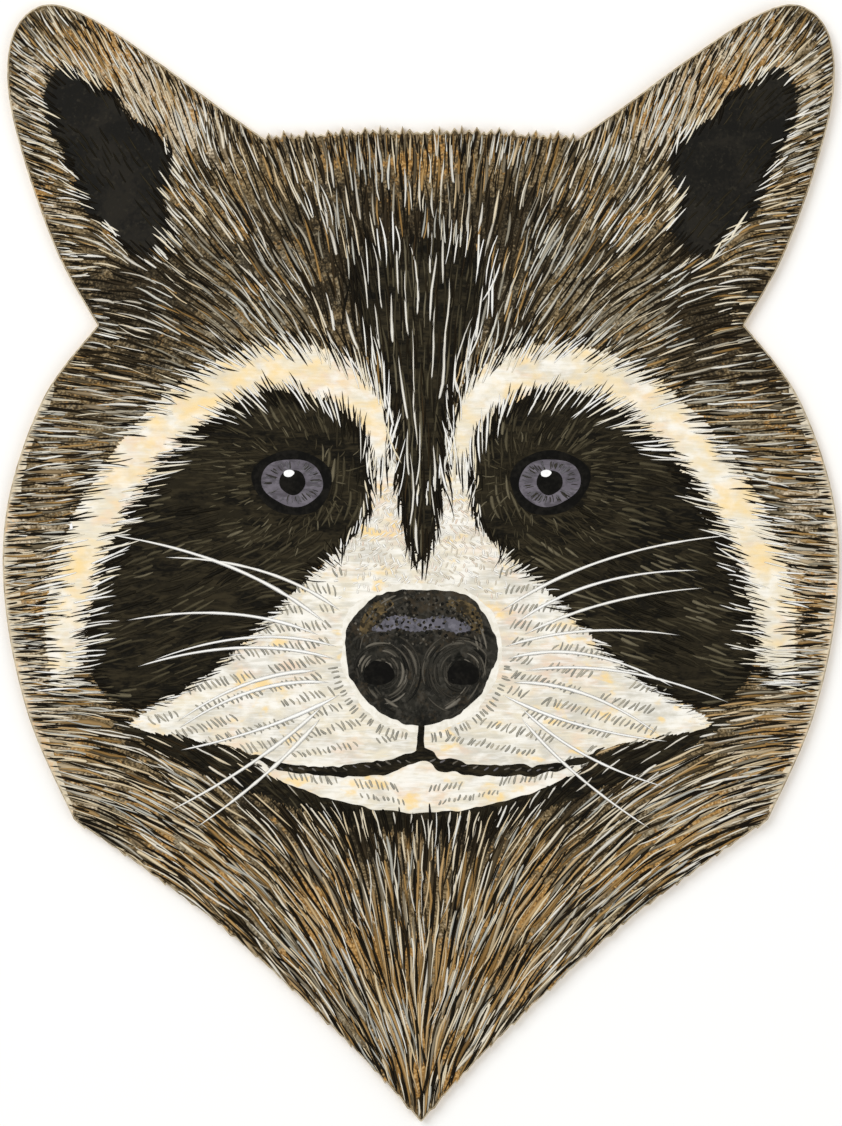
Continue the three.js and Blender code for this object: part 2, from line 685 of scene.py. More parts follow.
class Finish:
    """A look whose material is made when something is first dressed in it."""

    name: str

    def build(self, effects: SharedEffects) -> bpy.types.Material:
        """Makes the material.

        Args:
            effects: the shared node groups.

        Returns:
            The material.
        """
        material = bpy.data.materials.new(self.name)
        material.use_nodes = True
        bench = ShaderBench(material.node_tree, effects)
        shader = material.node_tree.nodes["Principled BSDF"]
        shader.location = (3600, 0)
        material.node_tree.nodes["Material Output"].location = (3900, 0)
        bench.plug(MATTE, shader.inputs["Specular IOR Level"])
        for name, source in self.looks(bench).items():
            bench.plug(source, shader.inputs[name])
        return material

    def looks(self, bench: ShaderBench) -> dict[str, object]:
        """What goes into each input of the Principled BSDF, which every finish works out itself."""
        raise NotImplementedError


@dataclass(frozen=True)
class BirchPly(Finish):
    """Sanded birch plywood with a primed front, and paint lapped over the front edge."""

    thickness: float
    name: str = "Birch plywood"
    pale: Colour = (228, 205, 166)
    grain: Colour = (200, 168, 122)
    core: Colour = (178, 140, 96)
    glue: Colour = (104, 72, 44)
    primer: tuple[Colour, Colour] = ((226, 214, 192), (196, 180, 152))
    lap: tuple[Colour, Colour] = ((150, 134, 104), (206, 192, 164))
    lap_depth: float = 0.9 * MM
    figure_scale: Triple = (150, 9, 150)
    fibre_scale: Triple = (1400, 60, 1400)
    end_scale: Triple = (1500, 1500, 260)
    brushed_scale: Triple = (700, 120, 700)
    drip_scale: Triple = (170, 170, 40)
    dab_scale: float = 420.0
    glue_line: Pair = (0.10 * MM, 0.03 * MM)
    primed: Pair = (0.42 * MM, 0.30 * MM)
    bare_edge: float = 0.35 * MM
    roughness: Pair = (0.62, 0.8)
    relief: float = 0.05 * MM

    def looks(self, bench: ShaderBench) -> dict[str, object]:
        """Works out the wood, by its place in the sheet.

        Args:
            bench: the bench for the material's tree.

        Returns:
            What goes into each input of the Principled BSDF.
        """
        thickness = self.thickness
        place = bench.place()
        z = bench.parts(place)[2]
        figure = bench.streaks(place, self.figure_scale, 5.0, 1.2)
        fibres = bench.streaks(place, self.fibre_scale, 2.0)
        face = bench.mix(bench.remap(figure, 0.35, 0.7), self.pale, self.grain)
        face = bench.mix(bench.remap(fibres, 0.45, 0.75, 0.0, 0.45), face, self.grain)
        end_grain = bench.streaks(place, self.end_scale, 2.0)
        core = bench.mix(bench.remap(end_grain, 0.35, 0.65), self.core, self.grain)
        ply = thickness / 3
        from_middle = bench.maths("ABSOLUTE", bench.maths("SUBTRACT", z, thickness / 2))
        wood = bench.mix(bench.remap(from_middle, ply * 0.53, ply * 0.47), face, core)
        line = bench.maths("ABSOLUTE", bench.maths("SUBTRACT", from_middle, ply / 2))
        wood = bench.mix(bench.remap(line, *self.glue_line, 0.0, 0.8), wood, self.glue)
        brushed = bench.streaks(place, self.brushed_scale, 3.0, turn=0.5)
        primer = bench.mix(bench.remap(brushed, 0.35, 0.75), *self.primer)
        sealed = bench.remap(z, *(thickness - depth for depth in self.primed))
        colour = bench.mix(sealed, wood, primer)
        drips = bench.streaks(place, self.drip_scale, 3.0)
        reach = bench.remap(drips, 0.42, 0.72, 0.1 * MM, self.lap_depth * 2)
        edge = bench.maths("SUBTRACT", thickness - self.bare_edge, reach)
        lapped = bench.remap(z, edge, bench.maths("ADD", edge, 0.12 * MM))
        below_face = bench.remap(z, thickness - 0.01 * MM, thickness - 0.05 * MM)
        lapped = bench.maths("MULTIPLY", lapped, below_face)
        dabs = bench.noise(place, self.dab_scale, 4.0, 0.5)
        lap = bench.mix(bench.remap(dabs, 0.35, 0.65), *self.lap)
        return {
            "Base Color": bench.mix(lapped, colour, lap),
            "Roughness": bench.remap(fibres, *NOISE_BAND, *self.roughness),
            "Normal": bench.bumps(fibres, self.relief),
        }


@dataclass(frozen=True)
class Dabs:
    """Dabs of one colour in the ground coat.

    Coarse is blotches per metre, turn how far their pattern is turned, cover the share that they
    take where their shade is weak and where it is strong, and strength how far they hide the coat.
    """

    stops: Stops
    coarse: float
    turn: float
    cover: Pair
    strength: float


@dataclass(frozen=True)
class GroundPaint(Finish):
    """Sponged undercoat: speckled earth with dabs of ochre, grey, cream and near-black."""

    name: str = "Sponged ground coat"
    earth: Stops = (
        (0.32, 52, 42, 26), (0.46, 92, 77, 52), (0.56, 124, 106, 76), (0.70, 158, 140, 108),
    )
    grey: Dabs = Dabs(
        ((0.32, 90, 80, 62), (0.50, 138, 127, 104), (0.70, 180, 168, 144)),
        120.0, 0.0, (0.16, 0.78), 0.85,
    )
    cream: Dabs = Dabs(
        ((0.32, 142, 122, 92), (0.48, 190, 172, 144), (0.68, 228, 214, 188)),
        95.0, 0.9, (0.04, 0.92), 0.9,
    )
    ochre: Dabs = Dabs(
        ((0.32, 104, 74, 36), (0.48, 158, 118, 64), (0.58, 186, 144, 84), (0.70, 214, 178, 122)),
        85.0, 1.7, (0.16, 0.80), 0.92,
    )
    black: Dabs = Dabs(
        ((0.32, 20, 17, 11), (0.52, 44, 38, 27), (0.70, 84, 74, 56)), 75.0, 2.6, (0.12, 0.95), 0.9
    )
    speckle: float = 1300.0
    fine_share: float = 0.7
    softness: float = 0.09
    roughness: Pair = (0.55, 0.78)
    relief: float = 0.10 * MM

    def looks(self, bench: ShaderBench) -> dict[str, object]:
        """Works out the dabs, where the coat's own points say how much there is of each shade.

        Args:
            bench: the bench for the material's tree.

        Returns:
            What goes into each input of the Principled BSDF.
        """
        place = bench.place()
        shades = bench.add("ShaderNodeAttribute", attribute_name=SHADES_ATTRIBUTE)
        dark, warm, grey = bench.parts(shades.outputs["Vector"])
        pale = bench.add("ShaderNodeAttribute", attribute_name=PALE_ATTRIBUTE).outputs["Fac"]
        fine = bench.noise(place, self.speckle, 4.0, 0.3)
        colour = bench.ramp(fine, self.earth)
        layers = ((grey, self.grey), (pale, self.cream), (warm, self.ochre), (dark, self.black))
        for shade, dabs in layers:
            spot = bench.stretched(place, (1, 1.2, 1), dabs.turn)
            amount = bench.remap(shade, 0.0, 1.0, *dabs.cover)
            mask = bench.group(
                bench.effects.mottle, Vector=spot, Coarse=dabs.coarse,
                Fine=self.speckle * self.fine_share, Amount=amount, Softness=self.softness,
            )
            share = bench.maths("MULTIPLY", mask, dabs.strength)
            colour = bench.mix(share, colour, bench.ramp(fine, dabs.stops))
        rough = bench.remap(fine, *NOISE_BAND, *self.roughness)
        ridges = bench.group(bench.effects.brushwork, Vector=place, Size=1.0)
        return {"Base Color": colour, "Roughness": rough, "Normal": bench.bumps(ridges, self.relief)}


@dataclass(frozen=True)
class Wash:
    """A colour dabbed thinly over a paint: blotches per metre, and the share that they cover."""

    colour: Colour
    coarse: float
    amount: float
    strength: float = 0.8
    softness: float = 0.15
    fine: float = 800.0
    stretch: Triple = (1.0, 1.0, 1.0)


@dataclass(frozen=True)
class FilmPaint(Finish):
    """Opaque brushed paint with washes dabbed over it."""

    name: str
    main: Colour
    washes: tuple[Wash, ...]
    roughness: Pair = (0.5, 0.68)
    relief: float = 0.08 * MM
    gloss_scale: float = 800.0
    ridge_size: float = 1.1
    wash_turn: float = 0.8

    def looks(self, bench: ShaderBench) -> dict[str, object]:
        """Dabs the washes over each other.

        Args:
            bench: the bench for the material's tree.

        Returns:
            What goes into each input of the Principled BSDF.
        """
        place = bench.place()
        colour = self.main
        for number, wash in enumerate(self.washes):
            spot = bench.stretched(place, wash.stretch, self.wash_turn * number)
            mask = bench.group(
                bench.effects.mottle, Vector=spot, Coarse=wash.coarse, Fine=wash.fine,
                Amount=wash.amount, Softness=wash.softness,
            )
            colour = bench.mix(bench.maths("MULTIPLY", mask, wash.strength), colour, wash.colour)
        gloss = bench.noise(place, self.gloss_scale, 2.0)
        rough = bench.remap(gloss, *NOISE_BAND, *self.roughness)
        ridges = bench.group(bench.effects.brushwork, Vector=place, Size=self.ridge_size)
        return {"Base Color": colour, "Roughness": rough, "Normal": bench.bumps(ridges, self.relief)}


def cream_paint(name: str, yellow: float, grey: float, streaks: float, edge: float) -> FilmPaint:
    """Smooth cream with soft washes of grey, pink, yellow and white.

    Args:
        name: the paint's name.
        yellow: share that the yellow wash covers.
        grey: share that the grey wash covers.
        streaks: strength of the brush streaks.
        edge: softness of the yellow wash's edges.

    Returns:
        The paint.
    """
    level, lines = (0.8, 1.3, 1.0), (0.16, 1.2, 1.0)
    washes = (
        Wash((206, 203, 193), 60.0, grey, 0.8, 0.16, 240.0, level),
        Wash((240, 210, 184), 55.0, 0.3, 0.65, 0.13, 240.0, level),
        Wash((250, 247, 238), 90.0, 0.4, 0.8, 0.12, 300.0, level),
        Wash((200, 196, 182), 640.0, 0.36, streaks, 0.12, 1200.0, lines),
        Wash((252, 250, 243), 700.0, 0.36, streaks, 0.12, 1200.0, lines),
        Wash((250, 216, 144), 110.0, yellow, 0.8, edge, 260.0, (0.7, 1.1, 1.0)),
    )
    return FilmPaint(name, (234, 224, 200), washes)


@dataclass(frozen=True)
class HairPaint(Finish):
    """Paint of single brushed hairs, whose places in the palette are stored in their own map.

    Streak is how strongly streaks of a second colour show at a hair's tip, and streak from the
    share of them that shows as far as where they start to gain.
    """

    name: str
    stops: Stops
    streak: float
    streak_colour: Colour
    streak_from: float = 0.25
    roughness: Pair = (0.45, 0.65)
    bristles: float = 1100.0
    streaks_start: float = 0.3

    def looks(self, bench: ShaderBench) -> dict[str, object]:
        """Streaks each hair's own colour with the second one.

        Args:
            bench: the bench for the material's tree.

        Returns:
            What goes into each input of the Principled BSDF.
        """
        hair = bench.add("ShaderNodeUVMap", uv_map=HAIR_MAP).outputs["UV"]
        tone, along, _ = bench.parts(hair)
        colour = bench.ramp(tone, self.stops)
        mask = bench.group(bench.effects.bristles, Vector=hair, Streaks=self.bristles)
        thin = bench.remap(along, self.streaks_start, 1.0, self.streak_from, 1.0)
        share = bench.maths("MULTIPLY", bench.maths("MULTIPLY", mask, thin), self.streak)
        colour = bench.mix(share, colour, self.streak_colour)
        return {"Base Color": colour, "Roughness": bench.remap(mask, 0.0, 1.0, *self.roughness)}


@dataclass(frozen=True)
class PlainFinish(Finish):
    """One even colour."""

    name: str
    colour: Colour
    roughness: float

    def looks(self, bench: ShaderBench) -> dict[str, object]:
        """What goes into each input of the Principled BSDF."""
        return {"Base Color": self.colour, "Roughness": self.roughness}


UNDERCOAT_HAIR = HairPaint(
    "Undercoat strokes",
    (
        (0.0, 40, 33, 22), (0.25, 74, 62, 42), (0.45, 108, 96, 74), (0.62, 140, 131, 112),
        (0.80, 158, 126, 78), (1.0, 192, 174, 142),
    ),
    0.6, (86, 72, 50),
)
DARK_HAIR = HairPaint(
    "Dark hair paint",
    ((0.0, 12, 10, 6), (0.5, 24, 19, 10), (0.8, 38, 30, 17), (1.0, 62, 49, 30)),
    0.32, (66, 54, 36), 0.1,
)
PALE_HAIR = HairPaint(
    "Pale hair paint",
    (
        (0.0, 164, 163, 154), (0.22, 146, 138, 118), (0.42, 192, 184, 166), (0.62, 240, 236, 225),
        (0.82, 230, 212, 176), (1.0, 190, 156, 106),
    ),
    0.5, (110, 98, 76),
)
OCHRE_HAIR = HairPaint(
    "Ochre hair paint",
    ((0.0, 112, 86, 50), (0.35, 150, 116, 66), (0.7, 182, 146, 92), (1.0, 214, 186, 140)),
    0.45, (86, 66, 38),
)
CREAM_HAIR = HairPaint(
    "Cream hair paint",
    ((0.0, 238, 237, 230), (0.45, 232, 222, 198), (0.8, 222, 202, 164), (1.0, 200, 176, 134)),
    0.3, (160, 144, 116),
)
WHITE_HAIR = HairPaint(
    "White hair paint", ((0.0, 253, 252, 248), (0.6, 244, 240, 228), (1.0, 240, 226, 192)),
    0.15, (190, 184, 168),
)
MASK_HAIR = HairPaint(
    "Mask hair paint",
    (
        (0.0, 12, 10, 5), (0.32, 26, 22, 13), (0.6, 54, 48, 34), (0.88, 86, 79, 59),
        (1.0, 116, 108, 86),
    ),
    0.7, (30, 27, 19), 0.4,
)
TICK_HAIR = HairPaint(
    "Grey tick paint", ((0.0, 140, 138, 128), (0.6, 164, 160, 146), (1.0, 190, 182, 162)),
    0.35, (214, 206, 186),
)
DAB_HAIR = HairPaint(
    "Muzzle dab paint",
    (
        (0.0, 217, 206, 186), (0.3, 231, 221, 202), (0.5, 252, 250, 243), (0.8, 250, 246, 236),
        (1.0, 240, 219, 198),
    ),
    0.0, (236, 226, 204),
)
FROST_HAIR = HairPaint(
    "Frosted hair paint",
    ((0.0, 148, 147, 138), (0.4, 190, 188, 176), (0.8, 236, 233, 220), (1.0, 250, 248, 240)),
    0.35, (96, 96, 92),
)
NOSE_HAIR = HairPaint(
    "Nose stroke paint",
    (
        (0.0, 12, 12, 10), (0.4, 58, 55, 48), (0.7, 92, 87, 77), (0.85, 118, 112, 100),
        (1.0, 104, 102, 108),
    ),
    0.55, (36, 35, 31), roughness=(0.35, 0.5),
)

BLACK_FILM = FilmPaint(
    "Near-black paint", (15, 13, 8),
    (
        Wash((40, 35, 23), 60.0, 0.5, stretch=(1.0, 2.2, 1.0)),
        Wash((58, 51, 35), 420.0, 0.36, 0.6, 0.12, 1400.0, (0.25, 1.0, 1.0)),
    ),
)
HOLLOW_FILM = FilmPaint(
    "Ear hollow paint", (24, 23, 20),
    (Wash((40, 37, 31), 60.0, 0.42), Wash((56, 52, 42), 500.0, 0.2, 0.5, 0.1, 1600.0)),
)
MUZZLE_FILM = cream_paint("Muzzle cream", 0.2, 0.5, 0.5, 0.09)
LIP_FILM = cream_paint("Lip cream", 0.24, 0.38, 0.4, 0.09)
BROW_FILM = cream_paint("Brow cream", 0.34, 0.3, 0.3, 0.24)
WHITE_FILM = FilmPaint(
    "Halo white", (244, 240, 229), (Wash((222, 216, 200), 200.0, 0.5, 0.7, 0.15),)
)
RIM_FILM = FilmPaint(
    "Rim wash", (212, 198, 170),
    (
        Wash((176, 166, 146), 110.0, 0.42),
        Wash((232, 190, 138), 70.0, 0.34),
        Wash((234, 224, 202), 420.0, 0.4, 0.6, 0.12),
    ),
)
NOSE_FILM = FilmPaint(
    "Nose paint", (27, 26, 22),
    (
        Wash((48, 46, 40), 90.0, 0.5, 0.8, 0.12),
        Wash((66, 56, 42), 120.0, 0.28, 0.6, 0.1),
        Wash((70, 67, 60), 420.0, 0.34, 0.6, 0.12),
        Wash((14, 14, 12), 160.0, 0.3, 0.7, 0.1),
    ),
    (0.38, 0.55),
)
SHEEN_FILM = FilmPaint(
    "Nose sheen", (98, 96, 104),
    (Wash((120, 118, 126), 240.0, 0.4, 0.8, 0.1), Wash((66, 66, 70), 400.0, 0.36, 0.8, 0.08)),
    (0.35, 0.5),
)
BLOOM_FILM = FilmPaint(
    "Nose bloom", (82, 70, 48),
    (Wash((112, 94, 62), 500.0, 0.4, 0.8, 0.08), Wash((40, 35, 26), 420.0, 0.46, 0.9, 0.08)),
    (0.35, 0.5),
)
PUPIL_FILM = FilmPaint(
    "Black eye paint", (12, 11, 9), (Wash((26, 24, 20), 200.0, 0.4),), (0.3, 0.42), 0.03 * MM
)
IRIS_FILM = FilmPaint(
    "Iris paint", (98, 93, 100),
    (
        Wash((116, 111, 118), 150.0, 0.5, stretch=(0.6, 1.6, 1.0)),
        Wash((70, 66, 70), 420.0, 0.4, 0.7, 0.12, stretch=(0.5, 1.0, 1.0)),
    ),
    (0.35, 0.5),
)
GLINT_FILM = FilmPaint(
    "Catchlight paint", (251, 251, 249), (Wash((232, 233, 234), 300.0, 0.3),), (0.35, 0.45),
    0.02 * MM,
)


@dataclass
class PaintShelf:
    """Keeps each finish's material, made once, and dresses things in them."""

    effects: SharedEffects = field(default_factory=SharedEffects)
    jars: dict[str, bpy.types.Material] = field(default_factory=dict)

    def coat(self, item: bpy.types.Object, finish: Finish) -> None:
        """Gives an object a finish, whose material is made when it is first asked for.

        Args:
            item: the object.
            finish: its finish.
        """
        if finish.name not in self.jars:
            self.jars[finish.name] = finish.build(self.effects)
        item.data.materials.clear()
        item.data.materials.append(self.jars[finish.name])
        log.info("%s: %d faces, %s", item.name, len(item.data.polygons), finish.name)

    def dress(self, piece: bpy.types.Object, finish: Finish) -> None:
        """Paints a new piece and lets it ride on the board.

        Args:
            piece: the piece.
            finish: its paint.
        """
        if BAKE_MAP not in piece.data.uv_layers:
            flat_bake_map(piece)
        self.coat(piece, finish)
        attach(piece, BODY)


# Markings


class Zone(IntEnum):
    """What the face shows at a place."""

    OUTSIDE, FUR, BIB, EAR, BROW, MASK, MUZZLE, LIP, CHIN, STRIPE, HOLLOW, EYE, NOSE, CHEEK = range(14)


FUR, CHEEK, BIB, EAR = FURRY = (Zone.FUR, Zone.CHEEK, Zone.BIB, Zone.EAR)
MASK, MUZZLE, CHIN, STRIPE, NOSE = Zone.MASK, Zone.MUZZLE, Zone.CHIN, Zone.STRIPE, Zone.NOSE


@dataclass(frozen=True)
class Marking:
    """One painted shape on the face, sizes in millimetres.

    The edge is rows of x, y on the right half. A shape on both sides of the centre line starts and
    ends on it, and its left half mirrors the right one. Base and top are heights above the board's
    front, comb is how far fur pulls the shape's edge out, and wobble how unsteady the hand is, in
    drifts and shivers. Combed points lean with the fur, and the edge is notched between them.
    """

    name: str
    zone: Zone
    side: Side
    edge: Rows
    finish: FilmPaint
    base: float
    top: float
    comb: float = 0.0
    wobble: float = 0.9

    PITCH = 1.3 * MM
    DRIFT = 6 * MM
    SHIVER = 1.8 * MM
    LEAN = 0.35
    NOTCH = -0.25

    def smooth_loop(self) -> Array:
        """The shape's outline before the fur combs it, anticlockwise."""
        points = np.array(self.edge, float) * MM
        if self.side is Side.BOTH:
            points = np.vstack([points, points[1:-1][::-1] * (-1, 1)])
        loop = curve_through(points)
        if self.side is Side.LEFT:
            loop = loop * (-1, 1)
        ahead = np.roll(loop, -1, axis=0)
        area = (loop[:, 0] * ahead[:, 1] - ahead[:, 0] * loop[:, 1]).sum()
        return loop if area > 0 else loop[::-1]

    def combed_loop(self, flow: FurFlow, seed: int) -> Array:
        """Pulls the outline into uneven points that lie as the fur does.

        Args:
            flow: the lie of the fur.
            seed: fixes the points' lengths.

        Returns:
            Rows of x, y round the shape.
        """
        loop = spaced_round(self.smooth_loop(), self.PITCH / 2)
        if len(loop) % 2:
            loop = loop[:-1]
        drift = [patches(loop, self.DRIFT, seed + 40 * axis) - 0.5 for axis in (1, 2)]
        shiver = [patches(loop, self.SHIVER, seed + 40 * axis) - 0.5 for axis in (3, 4)]
        loop = loop + self.wobble * MM * (np.array(drift) + 0.3 * np.array(shiver)).T
        if not self.comb:
            return loop
        rng = np.random.default_rng(seed)
        travel = unit(np.roll(loop, -1, axis=0) - np.roll(loop, 1, axis=0))
        ways = flow.at(loop)
        lean = np.clip((ways * travel).sum(axis=1), -self.LEAN, self.LEAN) * self.PITCH
        outwards = -leftward(travel)
        across = np.abs((ways * outwards).sum(axis=1))
        pull = self.comb * MM * (0.1 + 0.9 * rng.beta(0.9, 2.4, len(loop)))
        pull[::2] *= self.NOTCH
        moved = loop + outwards * (across * pull)[:, None]
        moved[1::2] += (travel * lean[:, None])[1::2]
        return moved


BROW_EDGE = (
    (10, 36), (12, 54), (22, 67), (40, 73), (62, 70), (84, 57), (104, 36), (118, 11), (125, -15),
    (123, -41), (113, -33), (109, -16), (100, 10), (85, 33), (67, 49), (50, 56), (33, 54),
    (20, 43), (16, 30),
)
MASK_EDGE = (
    (17, 30), (20, 44), (32, 54), (50, 57), (68, 49), (86, 33), (101, 10), (110, -15), (110, -36),
    (98, -48), (80, -43), (64, -31), (50, -17), (38, -5), (26, 6), (18, 16),
)
HOLLOW_EDGE = (
    (92, 103), (99, 105), (104, 112), (113, 119), (118, 134), (125, 148), (125, 160), (119, 166),
    (112, 161), (103, 157), (98, 149), (89, 144), (83, 134), (87, 122), (84, 111),
)
CHIN_EDGE = (
    (0, -80), (16, -79), (36, -74), (58, -65), (78, -57), (101, -52), (96, -58), (76, -69),
    (50, -79), (24, -87), (0, -89),
)
MUZZLE_EDGE = (
    (0, 22), (9, 34), (17, 33), (19, 18), (26, 6), (38, -5), (50, -17), (64, -31), (80, -43),
    (97, -54), (80, -58), (62, -62), (44, -68), (24, -71), (0, -68),
)
LIP_EDGE = (
    (0, -64), (14, -67.5), (30, -69.5), (46, -68), (58, -64.5), (51, -70.5), (38, -76.5),
    (20, -81.5), (0, -83.5),
)
STRIPE_EDGE = (
    (0, 1), (4, 9), (7, 26), (9, 48), (13, 66), (20, 82), (24, 95), (18, 103), (8, 107), (0, 108),
)
MOUTH_EDGE = (
    (0, -61.6), (8, -65.0), (22, -67.4), (38, -67.6), (51, -65.8), (62, -61.8), (52, -68.0),
    (38, -70.8), (22, -71.2), (8, -69.6), (0, -66.6),
)
GROOVE_EDGE = ((0, -50), (1.1, -55), (1.2, -60), (1.7, -65), (0, -66))
NOSE_EDGE = (
    (0, -9), (12, -10), (21, -16), (25, -26), (23.5, -38), (15, -49), (6, -53.5), (0, -54),
)
HALO_EDGE = (
    (0, -7.2), (12.6, -8.2), (22.6, -14.6), (26.9, -25.8), (25.3, -39), (16.2, -50.8), (6, -55.4),
    (0, -55.6),
)
NOSTRIL_EDGE = (
    (9, -38.4), (10.4, -34.6), (14.4, -33), (18.8, -35.2), (19.4, -39), (16.4, -40.8), (12, -40.4),
)
SHEEN_EDGE = (
    (0, -18.6), (6, -17.8), (12, -19), (16.4, -21.8), (11, -22.8), (5, -22.2), (0, -22.8),
)
BLOOM_EDGE = (
    (9, -12.6), (15, -13.4), (19.6, -18), (20.6, -24), (17.6, -22.6), (14, -17.6), (9.6, -15.4),
)
LOW = 0.03  # millimetres from the board's front to the underside of most films


def paired(
    name: str, zone: Zone, edge: Rows, finish: FilmPaint, top: float, comb: float
) -> tuple[Marking, ...]:
    """A marking for each side of the face."""
    return tuple(
        Marking(f"{name}_{label}", zone, side, edge, finish, LOW, top, comb) for side, label in SIDES
    )


MARKINGS = (
    Marking("chin_shadow", CHIN, Side.BOTH, CHIN_EDGE, BLACK_FILM, LOW, 0.085, 6),
    *paired("brow", Zone.BROW, BROW_EDGE, BROW_FILM, 0.090, 3.2),
    Marking("muzzle", MUZZLE, Side.BOTH, MUZZLE_EDGE, MUZZLE_FILM, LOW, 0.10, 2.4),
    Marking("lip", Zone.LIP, Side.BOTH, LIP_EDGE, LIP_FILM, LOW, 0.11),
    *paired("mask", MASK, MASK_EDGE, BLACK_FILM, 0.105, 3.2),
    Marking("forehead_stripe", STRIPE, Side.BOTH, STRIPE_EDGE, BLACK_FILM, LOW, 0.115, 8),
    *paired("ear_hollow", Zone.HOLLOW, HOLLOW_EDGE, HOLLOW_FILM, 0.10, 3.6),
)
SNOUT_MARKINGS = (
    Marking("nose_halo", MUZZLE, Side.BOTH, HALO_EDGE, WHITE_FILM, 0.07, 0.14, wobble=1.4),
    Marking("mouth", NOSE, Side.BOTH, MOUTH_EDGE, BLACK_FILM, 0.08, 0.16, wobble=1.2),
    Marking("groove", NOSE, Side.BOTH, GROOVE_EDGE, BLACK_FILM, 0.07, 0.15, wobble=0.5),
    Marking("nose", NOSE, Side.BOTH, NOSE_EDGE, NOSE_FILM, 0.08, 0.20, wobble=1.1),
)
NOSE_MARKINGS = (
    *paired("nostril", NOSE, NOSTRIL_EDGE, PUPIL_FILM, 0.225, 0.0),
    *paired("nose_bloom", NOSE, BLOOM_EDGE, BLOOM_FILM, 0.214, 0.9),
    Marking("nose_sheen", NOSE, Side.BOTH, SHEEN_EDGE, SHEEN_FILM, 0.19, 0.218, 0.8),
)


@dataclass(frozen=True)
class EyePlan:
    """Sizes of an eye, and where the right one lies."""

    centre: Pair = (43 * MM, 27 * MM)
    rim: Pair = (13.4 * MM, 10.8 * MM)
    iris: Pair = (10.4 * MM, 7.9 * MM)
    pupil: Pair = (4.4 * MM, 4.2 * MM)
    glint: Pair = (1.8 * MM, 1.2 * MM)
    glint_offset: Pair = (-1.2 * MM, 3.0 * MM)
    tilt: float = math.radians(8)
    unsteady: Pair = (0.03, 0.02)

    def ellipse(self, radii: Pair, side: Side, count: int = 48) -> Array:
        """Makes a tilted ellipse round the middle of one eye.

        Args:
            radii: half its width and half its height.
            side: the eye.
            count: number of points.

        Returns:
            Rows of x, y, anticlockwise.
        """
        turn = np.linspace(0, 2 * math.pi, count, endpoint=False)
        slow, quick = self.unsteady
        wobble = 1 + slow * np.sin(3 * turn + 1) + quick * np.sin(5 * turn + radii[0] / MM)
        x, y = radii[0] * wobble * np.cos(turn), radii[1] * wobble * np.sin(turn)
        cosine, sine = math.cos(self.tilt), math.sin(self.tilt)
        points = np.stack([x * cosine - y * sine, x * sine + y * cosine], axis=-1) + self.centre
        return points if side is Side.RIGHT else (points * (-1, 1))[::-1]


class FacePlan:
    """A map of what shows where on the face."""

    MAP_PITCH = 0.6 * MM
    CHEEK_TOP = 8 * MM
    BIB_TOP = -84 * MM
    EAR_LINE = ((52 * MM, 141 * MM), (108 * MM, 79 * MM))

    def __init__(self, board: BoardShape) -> None:
        """Draws the map.

        Args:
            board: the board's outline.
        """
        self.eye = EyePlan()
        self._board = board
        self._zones = Grid.over(board.low, board.high, self.MAP_PITCH, self._zones_of)

    def _zones_of(self, points: Array) -> NDArray[np.int8]:
        """Names what shows at each point, marking by marking.

        Args:
            points: rows of x, y.

        Returns:
            Numbers of Zone.
        """
        zones = np.full(len(points), FUR, np.int8)
        (x0, y0), (x1, y1) = self.EAR_LINE
        across = np.abs(points[:, 0])
        beyond = (x1 - x0) * (points[:, 1] - y0) - (y1 - y0) * (across - x0)
        zones[(beyond > 0) & (across > x0)] = EAR
        zones[points[:, 1] < self.CHEEK_TOP] = CHEEK
        zones[points[:, 1] < self.BIB_TOP + 0.12 * across] = BIB
        for marking in (*MARKINGS, *SNOUT_MARKINGS):
            zones[inside_loop(points, marking.smooth_loop())] = marking.zone
        for side, _ in SIDES:
            zones[inside_loop(points, self.eye.ellipse(self.eye.rim, side))] = Zone.EYE
        zones[self._board.depth(points) < 0] = Zone.OUTSIDE
        return zones

    def zone_at(self, points: Array) -> NDArray[np.int8]:
        """Names what shows at each point, as numbers of Zone."""
        return self._zones.at(points)


# Mesh making


def deselect_all() -> None:
    """Clears the selection, which holds the CAD node after loading."""
    for item in bpy.context.selected_objects:
        item.select_set(False)


def flat_bake_map(piece: bpy.types.Object) -> None:
    """Gives a flat film a map that looks straight down on it.

    The faces that look up take the main part of the map, and the others a strip beside it.

    Args:
        piece: the film.
    """
    mesh = piece.data
    flat = places_of(mesh)[:, :2]
    low = flat.min(axis=0)
    span = flat.max(axis=0) - low
    margin, height, looks_up = 0.01, 0.97, 0.3
    main_width, strip_start, strip_width = 0.76, 0.80, 0.18
    corners = np.empty(len(mesh.loops), np.int32)
    mesh.loops.foreach_get("vertex_index", corners)
    up = np.concatenate([np.full(face.loop_total, face.normal.z > looks_up) for face in mesh.polygons])
    offset = flat[corners] - low
    above = margin + min(height / span[1], main_width / span[0]) * offset
    beside = np.array([strip_start, margin]) + offset / span * (strip_width, height)
    spots = np.where(up[:, None], above, beside)
    mesh.uv_layers.new(name=BAKE_MAP).data.foreach_set("uv", spots.ravel())


def thicken(rise: float) -> None:
    """Pulls the flat piece in edit mode up into a closed film.

    Args:
        rise: height of the film.
    """
    bpy.ops.mesh.extrude_region_move(TRANSFORM_OT_translate={"value": (0, 0, rise)})
    bpy.ops.mesh.select_all(action="SELECT")
    bpy.ops.mesh.normals_make_consistent(inside=False)
    bpy.ops.object.mode_set(mode="OBJECT")


